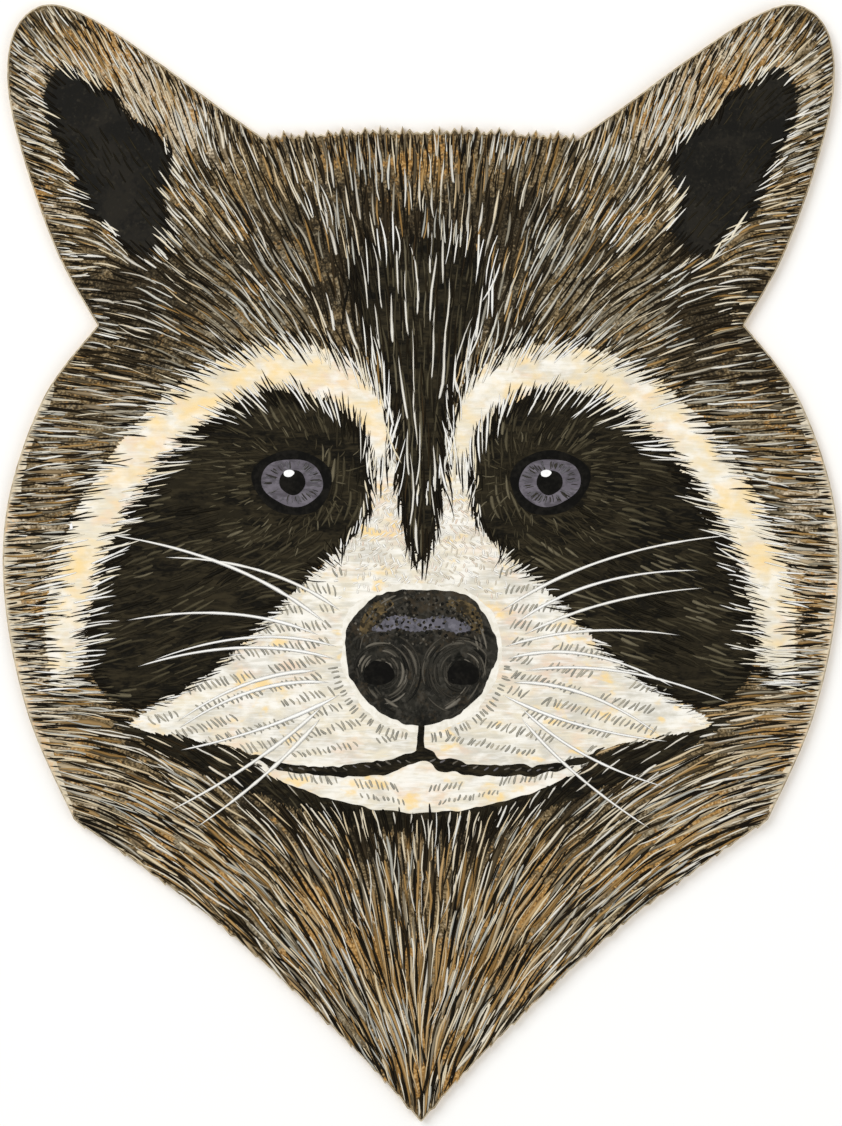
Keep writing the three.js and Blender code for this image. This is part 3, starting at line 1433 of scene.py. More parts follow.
def film_from_loop(
    name: str, loop: Array, base: float, top: float, ease: float = 0.02 * MM
) -> bpy.types.Object:
    """Makes a closed film of paint with the given outline.

    A filled ring is added, its points are drawn onto the outline, and the face is pulled up.

    Args:
        name: the piece's name.
        loop: rows of x, y round the outline, anticlockwise.
        base: height of its underside.
        top: height of its upper face.
        ease: width of the bevel round the upper face.

    Returns:
        The film.
    """
    deselect_all()
    bpy.ops.mesh.primitive_circle_add(vertices=len(loop), fill_type="NGON")
    film = bpy.context.active_object
    film.name = film.data.name = name
    ordered = np.full((len(loop), 3), base)
    ordered[list(film.data.polygons[0].vertices), :2] = loop
    film.data.vertices.foreach_set("co", ordered.ravel())
    bpy.ops.object.mode_set(mode="EDIT")
    bpy.ops.mesh.select_all(action="SELECT")
    thicken(top - base)
    if ease:
        bevel = film.modifiers.new("Eased edge", "BEVEL")
        bevel.width = ease
        bevel.segments = 1
        bevel.limit_method = "ANGLE"
        bevel.angle_limit = BEVEL_FROM
        bpy.ops.object.modifier_apply(modifier=bevel.name)
    return film


@dataclass(frozen=True)
class Brush:
    """How one kind of hair is brushed, sizes in millimetres.

    Stations are places along a hair from its root to its tip. Pointed and blunt are its share of
    the full width there, for a hair that starts in a point and for one that starts round.
    """

    width: float
    ridge: float = 0.02
    stations: tuple[float, ...] = (0.0, 0.04, 0.22, 0.45, 0.70, 0.90, 1.0)
    pointed: tuple[float, ...] = (0.0, 0.26, 0.72, 1.0, 0.88, 0.42, 0.0)
    blunt: tuple[float, ...] = (0.0, 0.80, 1.0, 0.98, 0.78, 0.40, 0.0)


@dataclass
class Hairs:
    """Traced hairs, one row for each, made into one joined mesh of closed, pointed strokes."""

    paths: Array
    widths: Array
    heights: Array
    tones: Array

    EDGE_SHIFT = 0.0015
    UNEVENNESS = 0.11
    TIP_HEIGHT = 0.3

    @staticmethod
    def _faces(rings: int) -> NDArray[np.int32]:
        """Lists the triangles of one stroke: root, rings of left, right and top, then tip.

        Args:
            rings: number of rings.

        Returns:
            Rows of three vertex numbers.
        """
        tip = 3 * rings + 1
        faces = []
        corners = ((0, 1), (1, 2), (2, 0))
        for a, b in corners:
            faces += [(0, 1 + b, 1 + a), (tip, tip - 3 + a, tip - 3 + b)]
        for near in range(1, tip - 3, 3):
            for a, b in corners:
                faces += [(near + a, near + b, near + 3 + b), (near + a, near + 3 + b, near + 3 + a)]
        return np.array(faces, np.int32)

    def build(self, name: str, brush: Brush, seed: int) -> bpy.types.Object:
        """Makes the mesh.

        Args:
            name: the piece's name.
            brush: the strokes' taper and ridge.
            seed: fixes how uneven the strokes are.

        Returns:
            The new object.
        """
        rng = np.random.default_rng(seed)
        count, stations, _ = self.paths.shape
        blunt = rng.beta(0.6, 0.6, count)[:, None]
        profile = np.array(brush.pointed) * (1 - blunt) + np.array(brush.blunt) * blunt
        profile = profile * rng.normal(1, self.UNEVENNESS, profile.shape).clip(0.6, 1.4)
        left = leftward(unit(np.gradient(self.paths, axis=1)))
        half = self.widths[:, None] / 2 * profile
        ridge = brush.ridge * MM
        last = 3 * (stations - 2) + 1
        verts = np.empty((count, last + 1, 3))
        for corner, (side, lift) in enumerate(((1, 0.0), (-1, 0.0), (0, ridge))):
            ring = slice(1 + corner, last, 3)
            verts[:, ring, :2] = (self.paths + side * left * half[..., None])[:, 1:-1]
            verts[:, ring, 2] = self.heights[:, None] + lift * profile[:, 1:-1]
        for index, station in ((0, 0), (last, -1)):
            verts[:, index, :2] = self.paths[:, station]
            verts[:, index, 2] = self.heights + self.TIP_HEIGHT * ridge
        pattern = self._faces(stations - 2)
        corners = (pattern[None] + np.arange(count)[:, None, None] * (last + 1)).ravel()
        mesh = bpy.data.meshes.new(name)
        mesh.vertices.add(count * (last + 1))
        mesh.vertices.foreach_set("co", verts.ravel())
        mesh.loops.add(len(corners))
        mesh.loops.foreach_set("vertex_index", corners.astype(np.int32))
        mesh.polygons.add(len(corners) // 3)
        mesh.polygons.foreach_set("loop_start", np.arange(0, len(corners), 3, dtype=np.int32))
        self._store_tones(mesh, corners, brush.stations)
        mesh.update(calc_edges=True)
        mesh.validate()
        piece = bpy.data.objects.new(name, mesh)
        bpy.context.scene.collection.objects.link(piece)
        return piece

    def _store_tones(self, mesh: bpy.types.Mesh, corners: NDArray, stations: Sequence) -> None:
        """Stores each hair's tone across its map, and its length along it.

        Args:
            mesh: the hairs' mesh.
            corners: vertex number of each face corner.
            stations: places along a hair, 0 to 1.
        """
        rings = len(stations) - 2
        shift = self.EDGE_SHIFT
        shifts = np.concatenate([[0.0], np.tile([shift, -shift, 0.0], rings), [0.0]])
        along = np.concatenate([[0.0], np.repeat(stations[1:-1], 3), [1.0]])
        hair, vertex = np.divmod(corners, 3 * rings + 2)
        spots = np.column_stack([self.tones[hair] + shifts[vertex], 0.01 + 0.98 * along[vertex]])
        for name in (HAIR_MAP, BAKE_MAP):
            mesh.uv_layers.new(name=name).data.foreach_set("uv", spots.ravel())


# Growing hair


@dataclass(frozen=True)
class Growth:
    """How hair grows in one zone, sizes in millimetres.

    Pitch is the distance between neighbours side by side, length a hair's length, overlap how far
    a tip may cross into another zone, low and high the range of its palette tones, width its share
    of the brush's width, and bare the share of ground that it leaves free in patches.
    """

    pitch: float
    length: float
    overlap: float
    low: float = 0.0
    high: float = 1.0
    width: float = 1.0
    bare: float = 0.0


@dataclass(frozen=True)
class Coat:
    """A layer of hairs brushed over the face with one brush and one palette, in millimetres.

    Lift is the range of its heights above the board's front. Room is the distance that its hairs
    keep from those of earlier coats, or None for a coat that lies over everything. Pulls move a
    hair's tone along the palette where a shade is strong. Rim, if given, keeps the coat to a strip
    of that width along the board's rim. Grey width is how much wider a hair is where fur is grey.
    Thinned is the share of ground that the coat also leaves free where fur is dark.
    """

    name: str
    finish: HairPaint
    brush: Brush
    lift: Pair
    seed: int
    growths: dict[Zone, Growth]
    room: float | None = None
    pulls: dict[Shade, float] = field(default_factory=dict)
    rim: float | None = None
    grey_width: float = 0.0
    thinned: float = 0.0


@dataclass(frozen=True)
class Fringe:
    """Short hairs along a marking's edge that carry a colour across it, sizes in millimetres.

    Outward is true for hairs that leave the marking. Inside is the share of a hair that lies before
    the edge. Gap is the share of the edge left free, in patches. Band limits the fringe to a range
    of heights on the board. Lift is as for a coat.
    """

    name: str
    marking: str
    finish: HairPaint
    outward: bool
    pitch: float
    length: Pair
    width: float
    seed: int
    tone: Pair = (0.0, 1.0)
    inside: float = 0.45
    gap: float = 0.0
    band: Pair = (-200.0, 200.0)
    lift: Pair = (0.15, 0.18)


@dataclass
class Beds:
    """Places that hairs have taken, so that later ones find room beside them.

    They are kept in square cells, which are as wide as the longest room along a hair.
    """

    taken: dict[tuple[int, int], list[tuple[float, float, int]]] = field(default_factory=dict)

    CELL = 18 * MM

    def plant(
        self, points: Array, along: Array, across: Array, room: float, ways: Array, coat: int
    ) -> NDArray:
        """Keeps the points that have room, and takes their places.

        Args:
            points: rows of x, y, tried in order.
            along: room that each needs along the fur.
            across: room that each needs across it, among its own coat.
            room: room across the fur to hairs of other coats.
            ways: direction of the fur at each.
            coat: number of the coat.

        Returns:
            Numbers of the kept points.
        """
        cells = np.floor(points / self.CELL).astype(int)
        kept: list[int] = []
        near = [(di, dj) for di in (-1, 0, 1) for dj in (-1, 0, 1)]
        rows = zip(points.tolist(), cells.tolist(), along.tolist(), across.tolist(), ways.tolist())
        for number, ((x, y), (i, j), reach, pitch, (wx, wy)) in enumerate(rows):
            beds = (bed for di, dj in near for bed in self.taken.get((i + di, j + dj), ()))
            for ox, oy, other in beds:
                u = ((x - ox) * wx + (y - oy) * wy) / reach
                v = ((x - ox) * wy - (y - oy) * wx) / (pitch if other == coat else room)
                if u * u + v * v < 1:
                    break
            else:
                kept.append(number)
                self.taken.setdefault((i, j), []).append((x, y, coat))
        return np.array(kept, int)


@dataclass
class Groomer:
    """Plants hairs evenly over the face and brushes them along the fur.

    Lengthwise is the room along a hair as a share of its length, shortest the least share of its
    path that it may keep, crowding the number of places tried for each hair, and stray and bend the
    usual angles by which hairs leave the flow and curve. Patches are the widths of patches, and
    edges the least distance from a hair's middle to the rim.
    """

    board: BoardShape
    plan: FacePlan
    flow: FurFlow
    shelf: PaintShelf
    beds: Beds = field(default_factory=Beds)
    lengthwise: float = 0.66
    shortest: float = 0.3
    shortest_length: float = 2.0 * MM
    wave: float = 0.009
    rim_gap: float = 0.08 * MM
    bare_rim: float = 4.2 * MM
    crowding: int = 11
    stray: float = 3.2
    bend: float = 11
    least_crossing: float = 0.24
    trace_steps: int = 10
    bare_patch: float = 13 * MM
    rim_patch: float = 9 * MM
    tone_patch: float = 11 * MM
    fringe_patch: float = 12 * MM
    coat_edge: float = 0.3 * MM
    fringe_edge: float = 0.5 * MM
    own_tone: float = 0.45
    like_neighbours: float = 0.55
    mean_shade: float = 0.3

    def lay(self, name: str, finish: HairPaint, brush: Brush, hairs: Hairs, seed: int) -> None:
        """Makes a piece of hairs, whose heights are given above the board's front."""
        hairs.heights = hairs.heights + self.board.front
        self.shelf.dress(hairs.build(name, brush, seed), finish)

    @staticmethod
    def _per_hair(coat: Coat, zones: NDArray, name: str) -> Array:
        """One value of its zone's growth for each hair."""
        table = [coat.growths.get(Zone(number)) for number in range(len(Zone))]
        return np.array([getattr(growth, name) if growth else 0.0 for growth in table])[zones]

    @staticmethod
    def _pressures(count: int, rng: Random) -> Array:
        """How much wider or narrower each hair is, as a brush is pressed more or less."""
        return rng.lognormal(0, 0.2, count).clip(0.6, 1.6)

    def _scattered(self, coat: Coat, rng: Random) -> tuple[Array, NDArray]:
        """Throws candidate places for hairs over the zones where they grow.

        Args:
            coat: the layer.
            rng: its random numbers.

        Returns:
            Rows of x, y, and the zone of each.
        """
        board = self.board
        room = min(growth.pitch * growth.length for growth in coat.growths.values()) * MM * MM
        count = int(np.prod(board.high - board.low) / (room * self.lengthwise) * self.crowding)
        points = rng.uniform(board.low, board.high, (count, 2))
        zones = self.plan.zone_at(points)
        depth = board.depth(points)
        grows = np.isin(zones, list(coat.growths)) & (depth > self.coat_edge)
        if coat.rim is None:
            grows &= (zones != CHEEK) | (depth > self.bare_rim * patches(points, self.rim_patch, 20))
        else:
            grows &= depth < coat.rim * MM
        bare = self._per_hair(coat, zones, "bare") + coat.thinned * Shade.DARK.over(points)
        grows &= patches(points, self.bare_patch, coat.seed) >= bare
        return points[grows], zones[grows]

    def _span(self, paths: Array, zones: NDArray, overlaps: Array) -> tuple[Array, Array]:
        """Cuts hairs off at the board's rim, and soon after they enter another zone.

        Args:
            paths: hairs by stations by x, y.
            zones: the zone that each grows in.
            overlaps: how far each may reach into another zone, as a share of its length.

        Returns:
            Where each hair starts and stops, as shares of its path.
        """
        hairs, count, _ = paths.shape
        flat = paths.reshape(-1, 2)
        found = self.plan.zone_at(flat).reshape(hairs, count)
        depth = self.board.depth(flat).reshape(hairs, count) - self.rim_gap
        own = (found == zones[:, None]) | (np.isin(found, FURRY) & np.isin(zones, FURRY)[:, None])
        share = np.linspace(0, 1, count)
        inner, outer = depth[:, :-1], depth[:, 1:]
        crossing = np.clip(inner / np.where(inner > outer, inner - outer, 1), 0, 1)
        edge = share[:-1] + crossing / (count - 1)
        middle = share[self.flow.BACK_STEPS]
        leaves = np.where((outer < 0) & (share[1:] > middle), edge, 1.0).min(axis=1)
        strays = np.where(~own & (share > middle), share + overlaps[:, None], 1.0).min(axis=1)
        behind = (~own | (depth < 0)) & (share < middle)
        starts = np.where(behind, share + 1 / (count - 1), 0.0).max(axis=1)
        return starts, np.minimum(leaves, strays)

    def _tones(self, coat: Coat, zones: NDArray, points: Array, rng: Random) -> Array:
        """Picks each hair's place in the palette, alike among neighbours.

        Args:
            coat: the layer.
            zones: the zone that each hair grows in.
            points: rows of x, y.
            rng: the layer's random numbers.

        Returns:
            One tone for each hair.
        """
        share = self.own_tone * rng.beta(1.2, 1.2, len(points))
        share += self.like_neighbours * patches(points, self.tone_patch, coat.seed + 100)
        for shade, pull in coat.pulls.items():
            share += pull * (shade.over(points) - self.mean_shade)
        low, high = (self._per_hair(coat, zones, end) for end in ("low", "high"))
        return np.clip(low + (high - low) * np.clip(share, 0, 1), *TONES)

    @staticmethod
    def _stations(paths: Array, brush: Brush, starts: Array, stops: Array) -> Array:
        """Picks the brush's stations out of a stretch of each path.

        Args:
            paths: hairs by evenly spaced stations by x, y.
            brush: the brush.
            starts: where each hair starts, as a share of its path.
            stops: where it stops.

        Returns:
            Hairs by the brush's stations by x, y.
        """
        steps = paths.shape[1] - 1
        places = (starts[:, None] + (stops - starts)[:, None] * np.array(brush.stations)) * steps
        low = np.floor(places).astype(int).clip(0, steps - 1)
        part = (places - low)[..., None]
        rows = np.arange(len(paths))[:, None]
        return paths[rows, low] * (1 - part) + paths[rows, low + 1] * part

    def _waved(self, paths: Array, lengths: Array, rng: Random) -> Array:
        """Lets each hair waver a little to its left and right, as a hand does.

        Args:
            paths: hairs by stations by x, y.
            lengths: each hair's length.
            rng: the layer's random numbers.

        Returns:
            The wavering paths.
        """
        share = np.linspace(0, 1, paths.shape[1])[None, :]
        phase = rng.uniform(0, 2 * math.pi, (len(paths), 1))
        cycles = rng.uniform(0.6, 1.3, (len(paths), 1))
        sway = np.sin(phase + 2 * math.pi * cycles * share) - np.sin(phase)
        sway *= (lengths * rng.normal(0, self.wave, len(paths)))[:, None]
        return paths + leftward(unit(np.gradient(paths, axis=1))) * sway[..., None]

    def grow(self, coat: Coat) -> None:
        """Brushes a whole layer of hair.

        Args:
            coat: the layer.
        """
        rng = np.random.default_rng(coat.seed)
        points, zones = self._scattered(coat, rng)
        spread, pitch = (self._per_hair(coat, zones, size) * MM for size in ("length", "pitch"))
        beds, room = (Beds(), MM) if coat.room is None else (self.beds, coat.room * MM)
        ways = self.flow.at(points)
        kept = beds.plant(points, spread * self.lengthwise, pitch, room, ways, coat.seed)
        points, zones = points[kept], zones[kept]
        lengths = spread[kept] * rng.uniform(0.66, 1.22, len(kept))
        turns = rng.normal(0, self.stray, len(kept))
        bends = rng.normal(0, self.bend, len(kept))
        paths = self._waved(self.flow.trace(points, lengths, turns, bends), lengths, rng)
        overlaps = self._per_hair(coat, zones, "overlap") * MM / lengths
        starts, stops = self._span(paths, zones, overlaps)
        kept = stops - starts > np.maximum(self.shortest, self.shortest_length / lengths)
        points, zones = points[kept], zones[kept]
        paths = self._stations(paths[kept], coat.brush, starts[kept], stops[kept])
        widths = coat.brush.width * MM * self._per_hair(coat, zones, "width")
        widths = widths * self._pressures(len(points), rng)
        widths *= 1 + coat.grey_width * Shade.GREY.over(points)
        heights = rng.uniform(*coat.lift, len(points)) * MM
        hairs = Hairs(paths, widths, heights, self._tones(coat, zones, points, rng))
        self.lay(coat.name, coat.finish, coat.brush, hairs, coat.seed)

    def _edge_ways(self, loop: Array, outward: bool) -> Array:
        """Directions that cross a loop's edge the right way, close to the lie of the fur.

        Args:
            loop: rows of x, y round the loop.
            outward: whether they leave it.

        Returns:
            A unit vector for each row.
        """
        normals = BoardShape.inwards(loop) * (-1 if outward else 1)
        ways = self.flow.at(loop)
        crossing = (ways * normals).sum(axis=1)
        ways[crossing < 0] *= -1
        lean = np.clip(self.least_crossing - np.abs(crossing), 0, None) * 1.4
        return unit(ways + normals * lean[:, None])

    def edge(self, fringe: Fringe) -> None:
        """Brushes one fringe on every marking of its kind.

        Args:
            fringe: the fringe.
        """
        rng = np.random.default_rng(fringe.seed)
        edged = [marking for marking in MARKINGS if marking.name.split("_")[0] == fringe.marking]
        loops = [spaced_round(marking.smooth_loop(), fringe.pitch * MM) for marking in edged]
        points = np.vstack(loops)
        ways = np.vstack([self._edge_ways(loop, fringe.outward) for loop in loops])
        points = points + rng.normal(0, 0.28 * fringe.pitch * MM, points.shape)
        low, high = fringe.band
        keep = (points[:, 1] > low * MM) & (points[:, 1] < high * MM)
        keep &= patches(points, self.fringe_patch, fringe.seed) >= fringe.gap
        keep &= self.board.depth(points) > self.fringe_edge
        points, ways = points[keep], ways[keep]
        count = len(points)
        lengths = rng.uniform(*fringe.length, count) * MM
        ways = polar(heading(ways) + rng.normal(0, 4, count))[:, None, :]
        inside = rng.normal(fringe.inside, 0.1, count).clip(0.15, 0.8)
        share = np.linspace(0, 1, self.trace_steps + 1)
        reach = (share - inside[:, None]) * lengths[:, None]
        bow = np.sin(np.pi * share) * (lengths * rng.normal(0, 0.03, count))[:, None]
        paths = points[:, None, :] + ways * reach[..., None] + leftward(ways) * bow[..., None]
        depth = self.board.depth(paths.reshape(-1, 2)).reshape(count, -1)
        paths = paths[(depth > 0).all(axis=1)]
        count = len(paths)
        brush = Brush(fringe.width)
        widths = fringe.width * MM * self._pressures(count, rng)
        heights = rng.uniform(*fringe.lift, count) * MM
        tones = rng.uniform(*fringe.tone, count).clip(*TONES)
        paths = self._stations(paths, brush, np.zeros(count), np.ones(count))
        hairs = Hairs(paths, widths, heights, tones)
        self.lay(fringe.name, fringe.finish, brush, hairs, fringe.seed)


# Coats of hair

COATS = (
    Coat(
        "undercoat_strokes", UNDERCOAT_HAIR, Brush(1.3, 0.012), (0.065, 0.085), 11,
        {
            FUR: Growth(2.3, 13, 1.5, bare=0.3),
            CHEEK: Growth(2.2, 19, 1.5, width=1.2, bare=0.25),
            BIB: Growth(2.2, 22, 1.5, width=1.2, bare=0.35),
            EAR: Growth(2.4, 11, 1.5, bare=0.3),
        },
        pulls={Shade.WARM: 0.5, Shade.DARK: -0.8, Shade.GREY: 0.1, Shade.PALE: 0.4},
    ),
    Coat(
        "mask_streaks", MASK_HAIR, Brush(1.0, 0.012), (0.112, 0.13), 12,
        {
            MASK: Growth(1.5, 9, 1.0, 0.1, 1.12, bare=0.2),
            STRIPE: Growth(1.35, 17, 3.0, 0.4, 1.15, 0.8),
            CHIN: Growth(2.2, 12, 3.0, 0.0, 0.9, bare=0.2),
            Zone.HOLLOW: Growth(2.0, 7, 0.0, 0.24, 0.62, 0.6, 0.5),
        },
    ),
    Coat(
        "dark_hairs", DARK_HAIR, Brush(0.66), (0.118, 0.14), 13,
        {
            FUR: Growth(2.1, 15, 2.0, width=0.95),
            CHEEK: Growth(2.35, 23, 2.0, width=1.2),
            BIB: Growth(2.2, 28, 2.0, width=1.25),
            EAR: Growth(2.2, 14, 2.0, width=0.72, bare=0.22),
            CHIN: Growth(2.2, 13, 6.0, width=1.1),
            STRIPE: Growth(2.6, 15, 7.0, width=0.9, bare=0.25),
        },
        room=0.85,
    ),
    Coat(
        "pale_hairs", PALE_HAIR, Brush(0.62), (0.125, 0.15), 14,
        {
            FUR: Growth(3.2, 15, 1.0, 0.1, 0.9, 1.15),
            CHEEK: Growth(2.4, 20, 1.0, 0.22, 1.12, 1.3, 0.12),
            BIB: Growth(2.4, 24, 1.0, 0.25, 1.15, 1.3, 0.25),
            EAR: Growth(2.4, 13, 1.0, 0.3, 0.9, 1.15),
            CHIN: Growth(3.4, 9, 4.0, 0.3, 0.9, bare=0.2),
            STRIPE: Growth(4.2, 21, 3.0, 0.56, 0.66, 1.15),
        },
        room=0.82, pulls={Shade.WARM: 0.4, Shade.GREY: -0.45}, grey_width=0.5, thinned=0.55,
    ),
    Coat(
        "ochre_hairs", OCHRE_HAIR, Brush(0.7), (0.122, 0.145), 15,
        {
            FUR: Growth(3.6, 12, 1.0, bare=0.4),
            CHEEK: Growth(2.8, 17, 1.0, width=1.3, bare=0.35),
            BIB: Growth(2.6, 20, 1.0, width=1.4, bare=0.4),
            EAR: Growth(3.2, 10, 1.0, bare=0.3),
        },
        room=0.8, pulls={Shade.PALE: 0.3}, thinned=0.55,
    ),
    Coat(
        "cream_highlights", CREAM_HAIR, Brush(0.4, 0.016), (0.155, 0.175), 16,
        {
            FUR: Growth(3.8, 12, 1.0, bare=0.4),
            CHEEK: Growth(3.6, 14, 1.0, width=1.1, bare=0.3),
            BIB: Growth(3.0, 17, 1.0, width=1.2, bare=0.3),
            EAR: Growth(2.8, 10, 1.0, width=1.3, bare=0.15),
        },
        thinned=0.5,
    ),
    Coat(
        "frosted_hairs", FROST_HAIR, Brush(0.6), (0.155, 0.175), 18,
        {
            FUR: Growth(1.9, 13, 1.0, 0.1, 1.0, bare=0.84),
            CHEEK: Growth(2.2, 14, 1.0, 0.0, 0.7, bare=0.9),
            BIB: Growth(2.2, 18, 1.0, 0.0, 0.6, 1.2, 0.86),
            EAR: Growth(2.0, 9, 1.0, 0.2, 1.0, bare=0.8),
        },
    ),
    Coat(
        "dark_accents", DARK_HAIR, Brush(0.46, 0.016), (0.16, 0.18), 17,
        {
            FUR: Growth(3.1, 13, 2.5, bare=0.15),
            CHEEK: Growth(3.0, 17, 2.5, width=1.3, bare=0.12),
            BIB: Growth(2.8, 20, 2.0, width=1.3, bare=0.12),
            EAR: Growth(2.6, 9, 2.0, bare=0.15),
            STRIPE: Growth(5.0, 12, 6.0),
        },
    ),
    Coat(
        "rim_hairs", DARK_HAIR, Brush(0.55, 0.016), (0.16, 0.185), 19,
        {
            FUR: Growth(1.9, 7, 2.0),
            CHEEK: Growth(2.4, 9, 2.0, width=1.1),
            BIB: Growth(2.2, 11, 2.0, bare=0.3),
            EAR: Growth(1.8, 6, 2.0),
        },
        rim=5,
    ),
)

OVER = (0.165, 0.19)
FRINGES = (
    Fringe("brow_black_fringe", "brow", DARK_HAIR, False, 1.35, (6, 15), 0.52, 31, (0.0, 0.6), 0.5),
    Fringe("brow_white_fringe", "brow", WHITE_HAIR, True, 1.9, (7, 16), 0.6, 32,
           inside=0.5, gap=0.22, lift=OVER),
    Fringe("mask_black_fringe", "mask", DARK_HAIR, True, 1.35, (5, 11), 0.5, 33, (0.0, 0.5), 0.45),
    Fringe("muzzle_white_fringe", "muzzle", WHITE_HAIR, True, 2.2, (3, 6), 0.5, 34,
           inside=0.55, band=(-54, 200), lift=OVER),
    Fringe("hollow_black_fringe", "ear", DARK_HAIR, True, 1.8, (5, 10), 0.7, 35, (0.0, 0.5), 0.6),
    Fringe("hollow_pale_fringe", "ear", WHITE_HAIR, False, 2.5, (6, 12), 0.6, 36,
           (0.3, 1.0), 0.6, 0.4, lift=OVER),
    Fringe("stripe_black_fringe", "forehead", DARK_HAIR, True, 1.4, (9, 18), 0.7, 37,
           (0.0, 0.6), 0.5, lift=(0.12, 0.14)),
    Fringe("stripe_white_fringe", "forehead", WHITE_HAIR, False, 3.2, (10, 18), 0.6, 38,
           (0.0, 0.6), 0.6, 0.3, (30, 200), OVER),
    Fringe("chin_black_fringe", "chin", DARK_HAIR, True, 1.4, (7, 14), 0.7, 39,
           (0.0, 0.6), 0.4, band=(-200, -83)),
    Fringe("chin_pale_fringe", "chin", CREAM_HAIR, True, 2.6, (7, 13), 0.55, 40,
           (0.0, 0.9), 0.4, 0.2, (-200, -83), OVER),
)


# Sub-assemblies


@dataclass
class PaintedBoard:
    """The sawn board, the ground coat brushed over its front and the pale wash at its rim.

    The coat is cut from square cells. The wash lies further from the centre line than wash from,
    over a range of heights on the board, and its depth swells in patches.
    """

    board: BoardShape
    shelf: PaintShelf
    coat_base: float = -0.02 * MM
    coat_top: float = 0.06 * MM
    cell: float = 2.6 * MM
    spare: float = 8 * MM
    coat_inset: float = 0.08 * MM
    wash_inset: float = 0.12 * MM
    wash_from: float = 96 * MM
    wash_reach: Pair = (-84 * MM, 60 * MM)
    wash_top: float = 0.075 * MM
    wash_patch: float = 16 * MM
    wash_least: float = 0.3 * MM
    wash_depth: float = 2.2 * MM
    wash_swell: float = 2.6 * MM

    def dress_board(self, node: bpy.types.Object) -> None:
        """Gives the board's CAD node its wood."""
        self.shelf.coat(node, BirchPly(self.board.front))

    def brush_ground(self) -> None:
        """Cuts a fine grid to the board's outline, as a thin film."""
        base, top = self.board.front + self.coat_base, self.board.front + self.coat_top
        span = self.board.high - self.board.low + self.spare
        columns, rows = (int(side / self.cell) for side in span)
        deselect_all()
        bpy.ops.mesh.primitive_grid_add(x_subdivisions=columns, y_subdivisions=rows, size=1)
        coat = bpy.context.active_object
        coat.name = coat.data.name = "ground_coat"
        bpy.ops.object.mode_set(mode="EDIT")
        bpy.ops.mesh.select_all(action="SELECT")
        bpy.ops.transform.resize(value=(span[0], span[1], 1))
        bpy.ops.transform.translate(value=(0, 0, base))
        thicken(top - base)
        loop = self.board.drawn_in(self.coat_inset)
        cutter = film_from_loop("coat_cutter", loop, base - MM, top + MM, ease=0.0)
        cut = coat.modifiers.new("Outline", "BOOLEAN")
        cut.operation = "INTERSECT"
        cut.object = cutter
        cut.solver = "EXACT"
        bpy.context.view_layer.objects.active = coat
        bpy.ops.object.modifier_apply(modifier=cut.name)
        bpy.data.objects.remove(cutter)
        self._store_shades(coat.data)
        self.shelf.dress(coat, GroundPaint())

    @staticmethod
    def _store_shades(mesh: bpy.types.Mesh) -> None:
        """Stores the shade map on the coat's points.

        Args:
            mesh: the ground coat's mesh.
        """
        flat = places_of(mesh)[:, :2]
        values = np.column_stack([shade.over(flat) for shade in (Shade.DARK, Shade.WARM, Shade.GREY)])
        dabs = mesh.attributes.new(SHADES_ATTRIBUTE, "FLOAT_VECTOR", "POINT")
        dabs.data.foreach_set("vector", values.ravel())
        pale = mesh.attributes.new(PALE_ATTRIBUTE, "FLOAT", "POINT")
        pale.data.foreach_set("value", Shade.PALE.over(flat))

    def wash_rim(self) -> None:
        """Brushes a pale uneven strip along both cheeks."""
        outer = self.board.drawn_in(self.wash_inset)
        inner_ways = BoardShape.inwards(outer)
        for side, label in SIDES:
            along = outer[:, 0] * side.value > self.wash_from
            along &= (outer[:, 1] > self.wash_reach[0]) & (outer[:, 1] < self.wash_reach[1])
            run = np.flatnonzero(along)
            breaks = np.flatnonzero(np.diff(run) > 1)
            run = np.roll(run, -(breaks[0] + 1)) if len(breaks) else run
            edge, ways = outer[run], inner_ways[run]
            share = np.linspace(0, 1, len(run))
            depth = self.wash_depth + self.wash_swell * patches(edge, self.wash_patch, 52)
            depth += np.random.default_rng(51).uniform(-0.5, 0.9, len(run)) * MM
            depth = depth.clip(self.wash_least) * np.sin(np.pi * share) ** 0.4 + self.wash_least / 2
            inner = np.pad(edge + ways * depth[:, None], ((1, 1), (0, 0)), "edge")
            inner = (inner[:-2] + 2 * inner[1:-1] + inner[2:]) / 4
            loop = np.vstack([edge, inner[::-1]])
            base, top = self.board.front + LOW * MM, self.board.front + self.wash_top
            self.shelf.dress(film_from_loop(f"rim_wash_{label}", loop, base, top, 0.0), RIM_FILM)


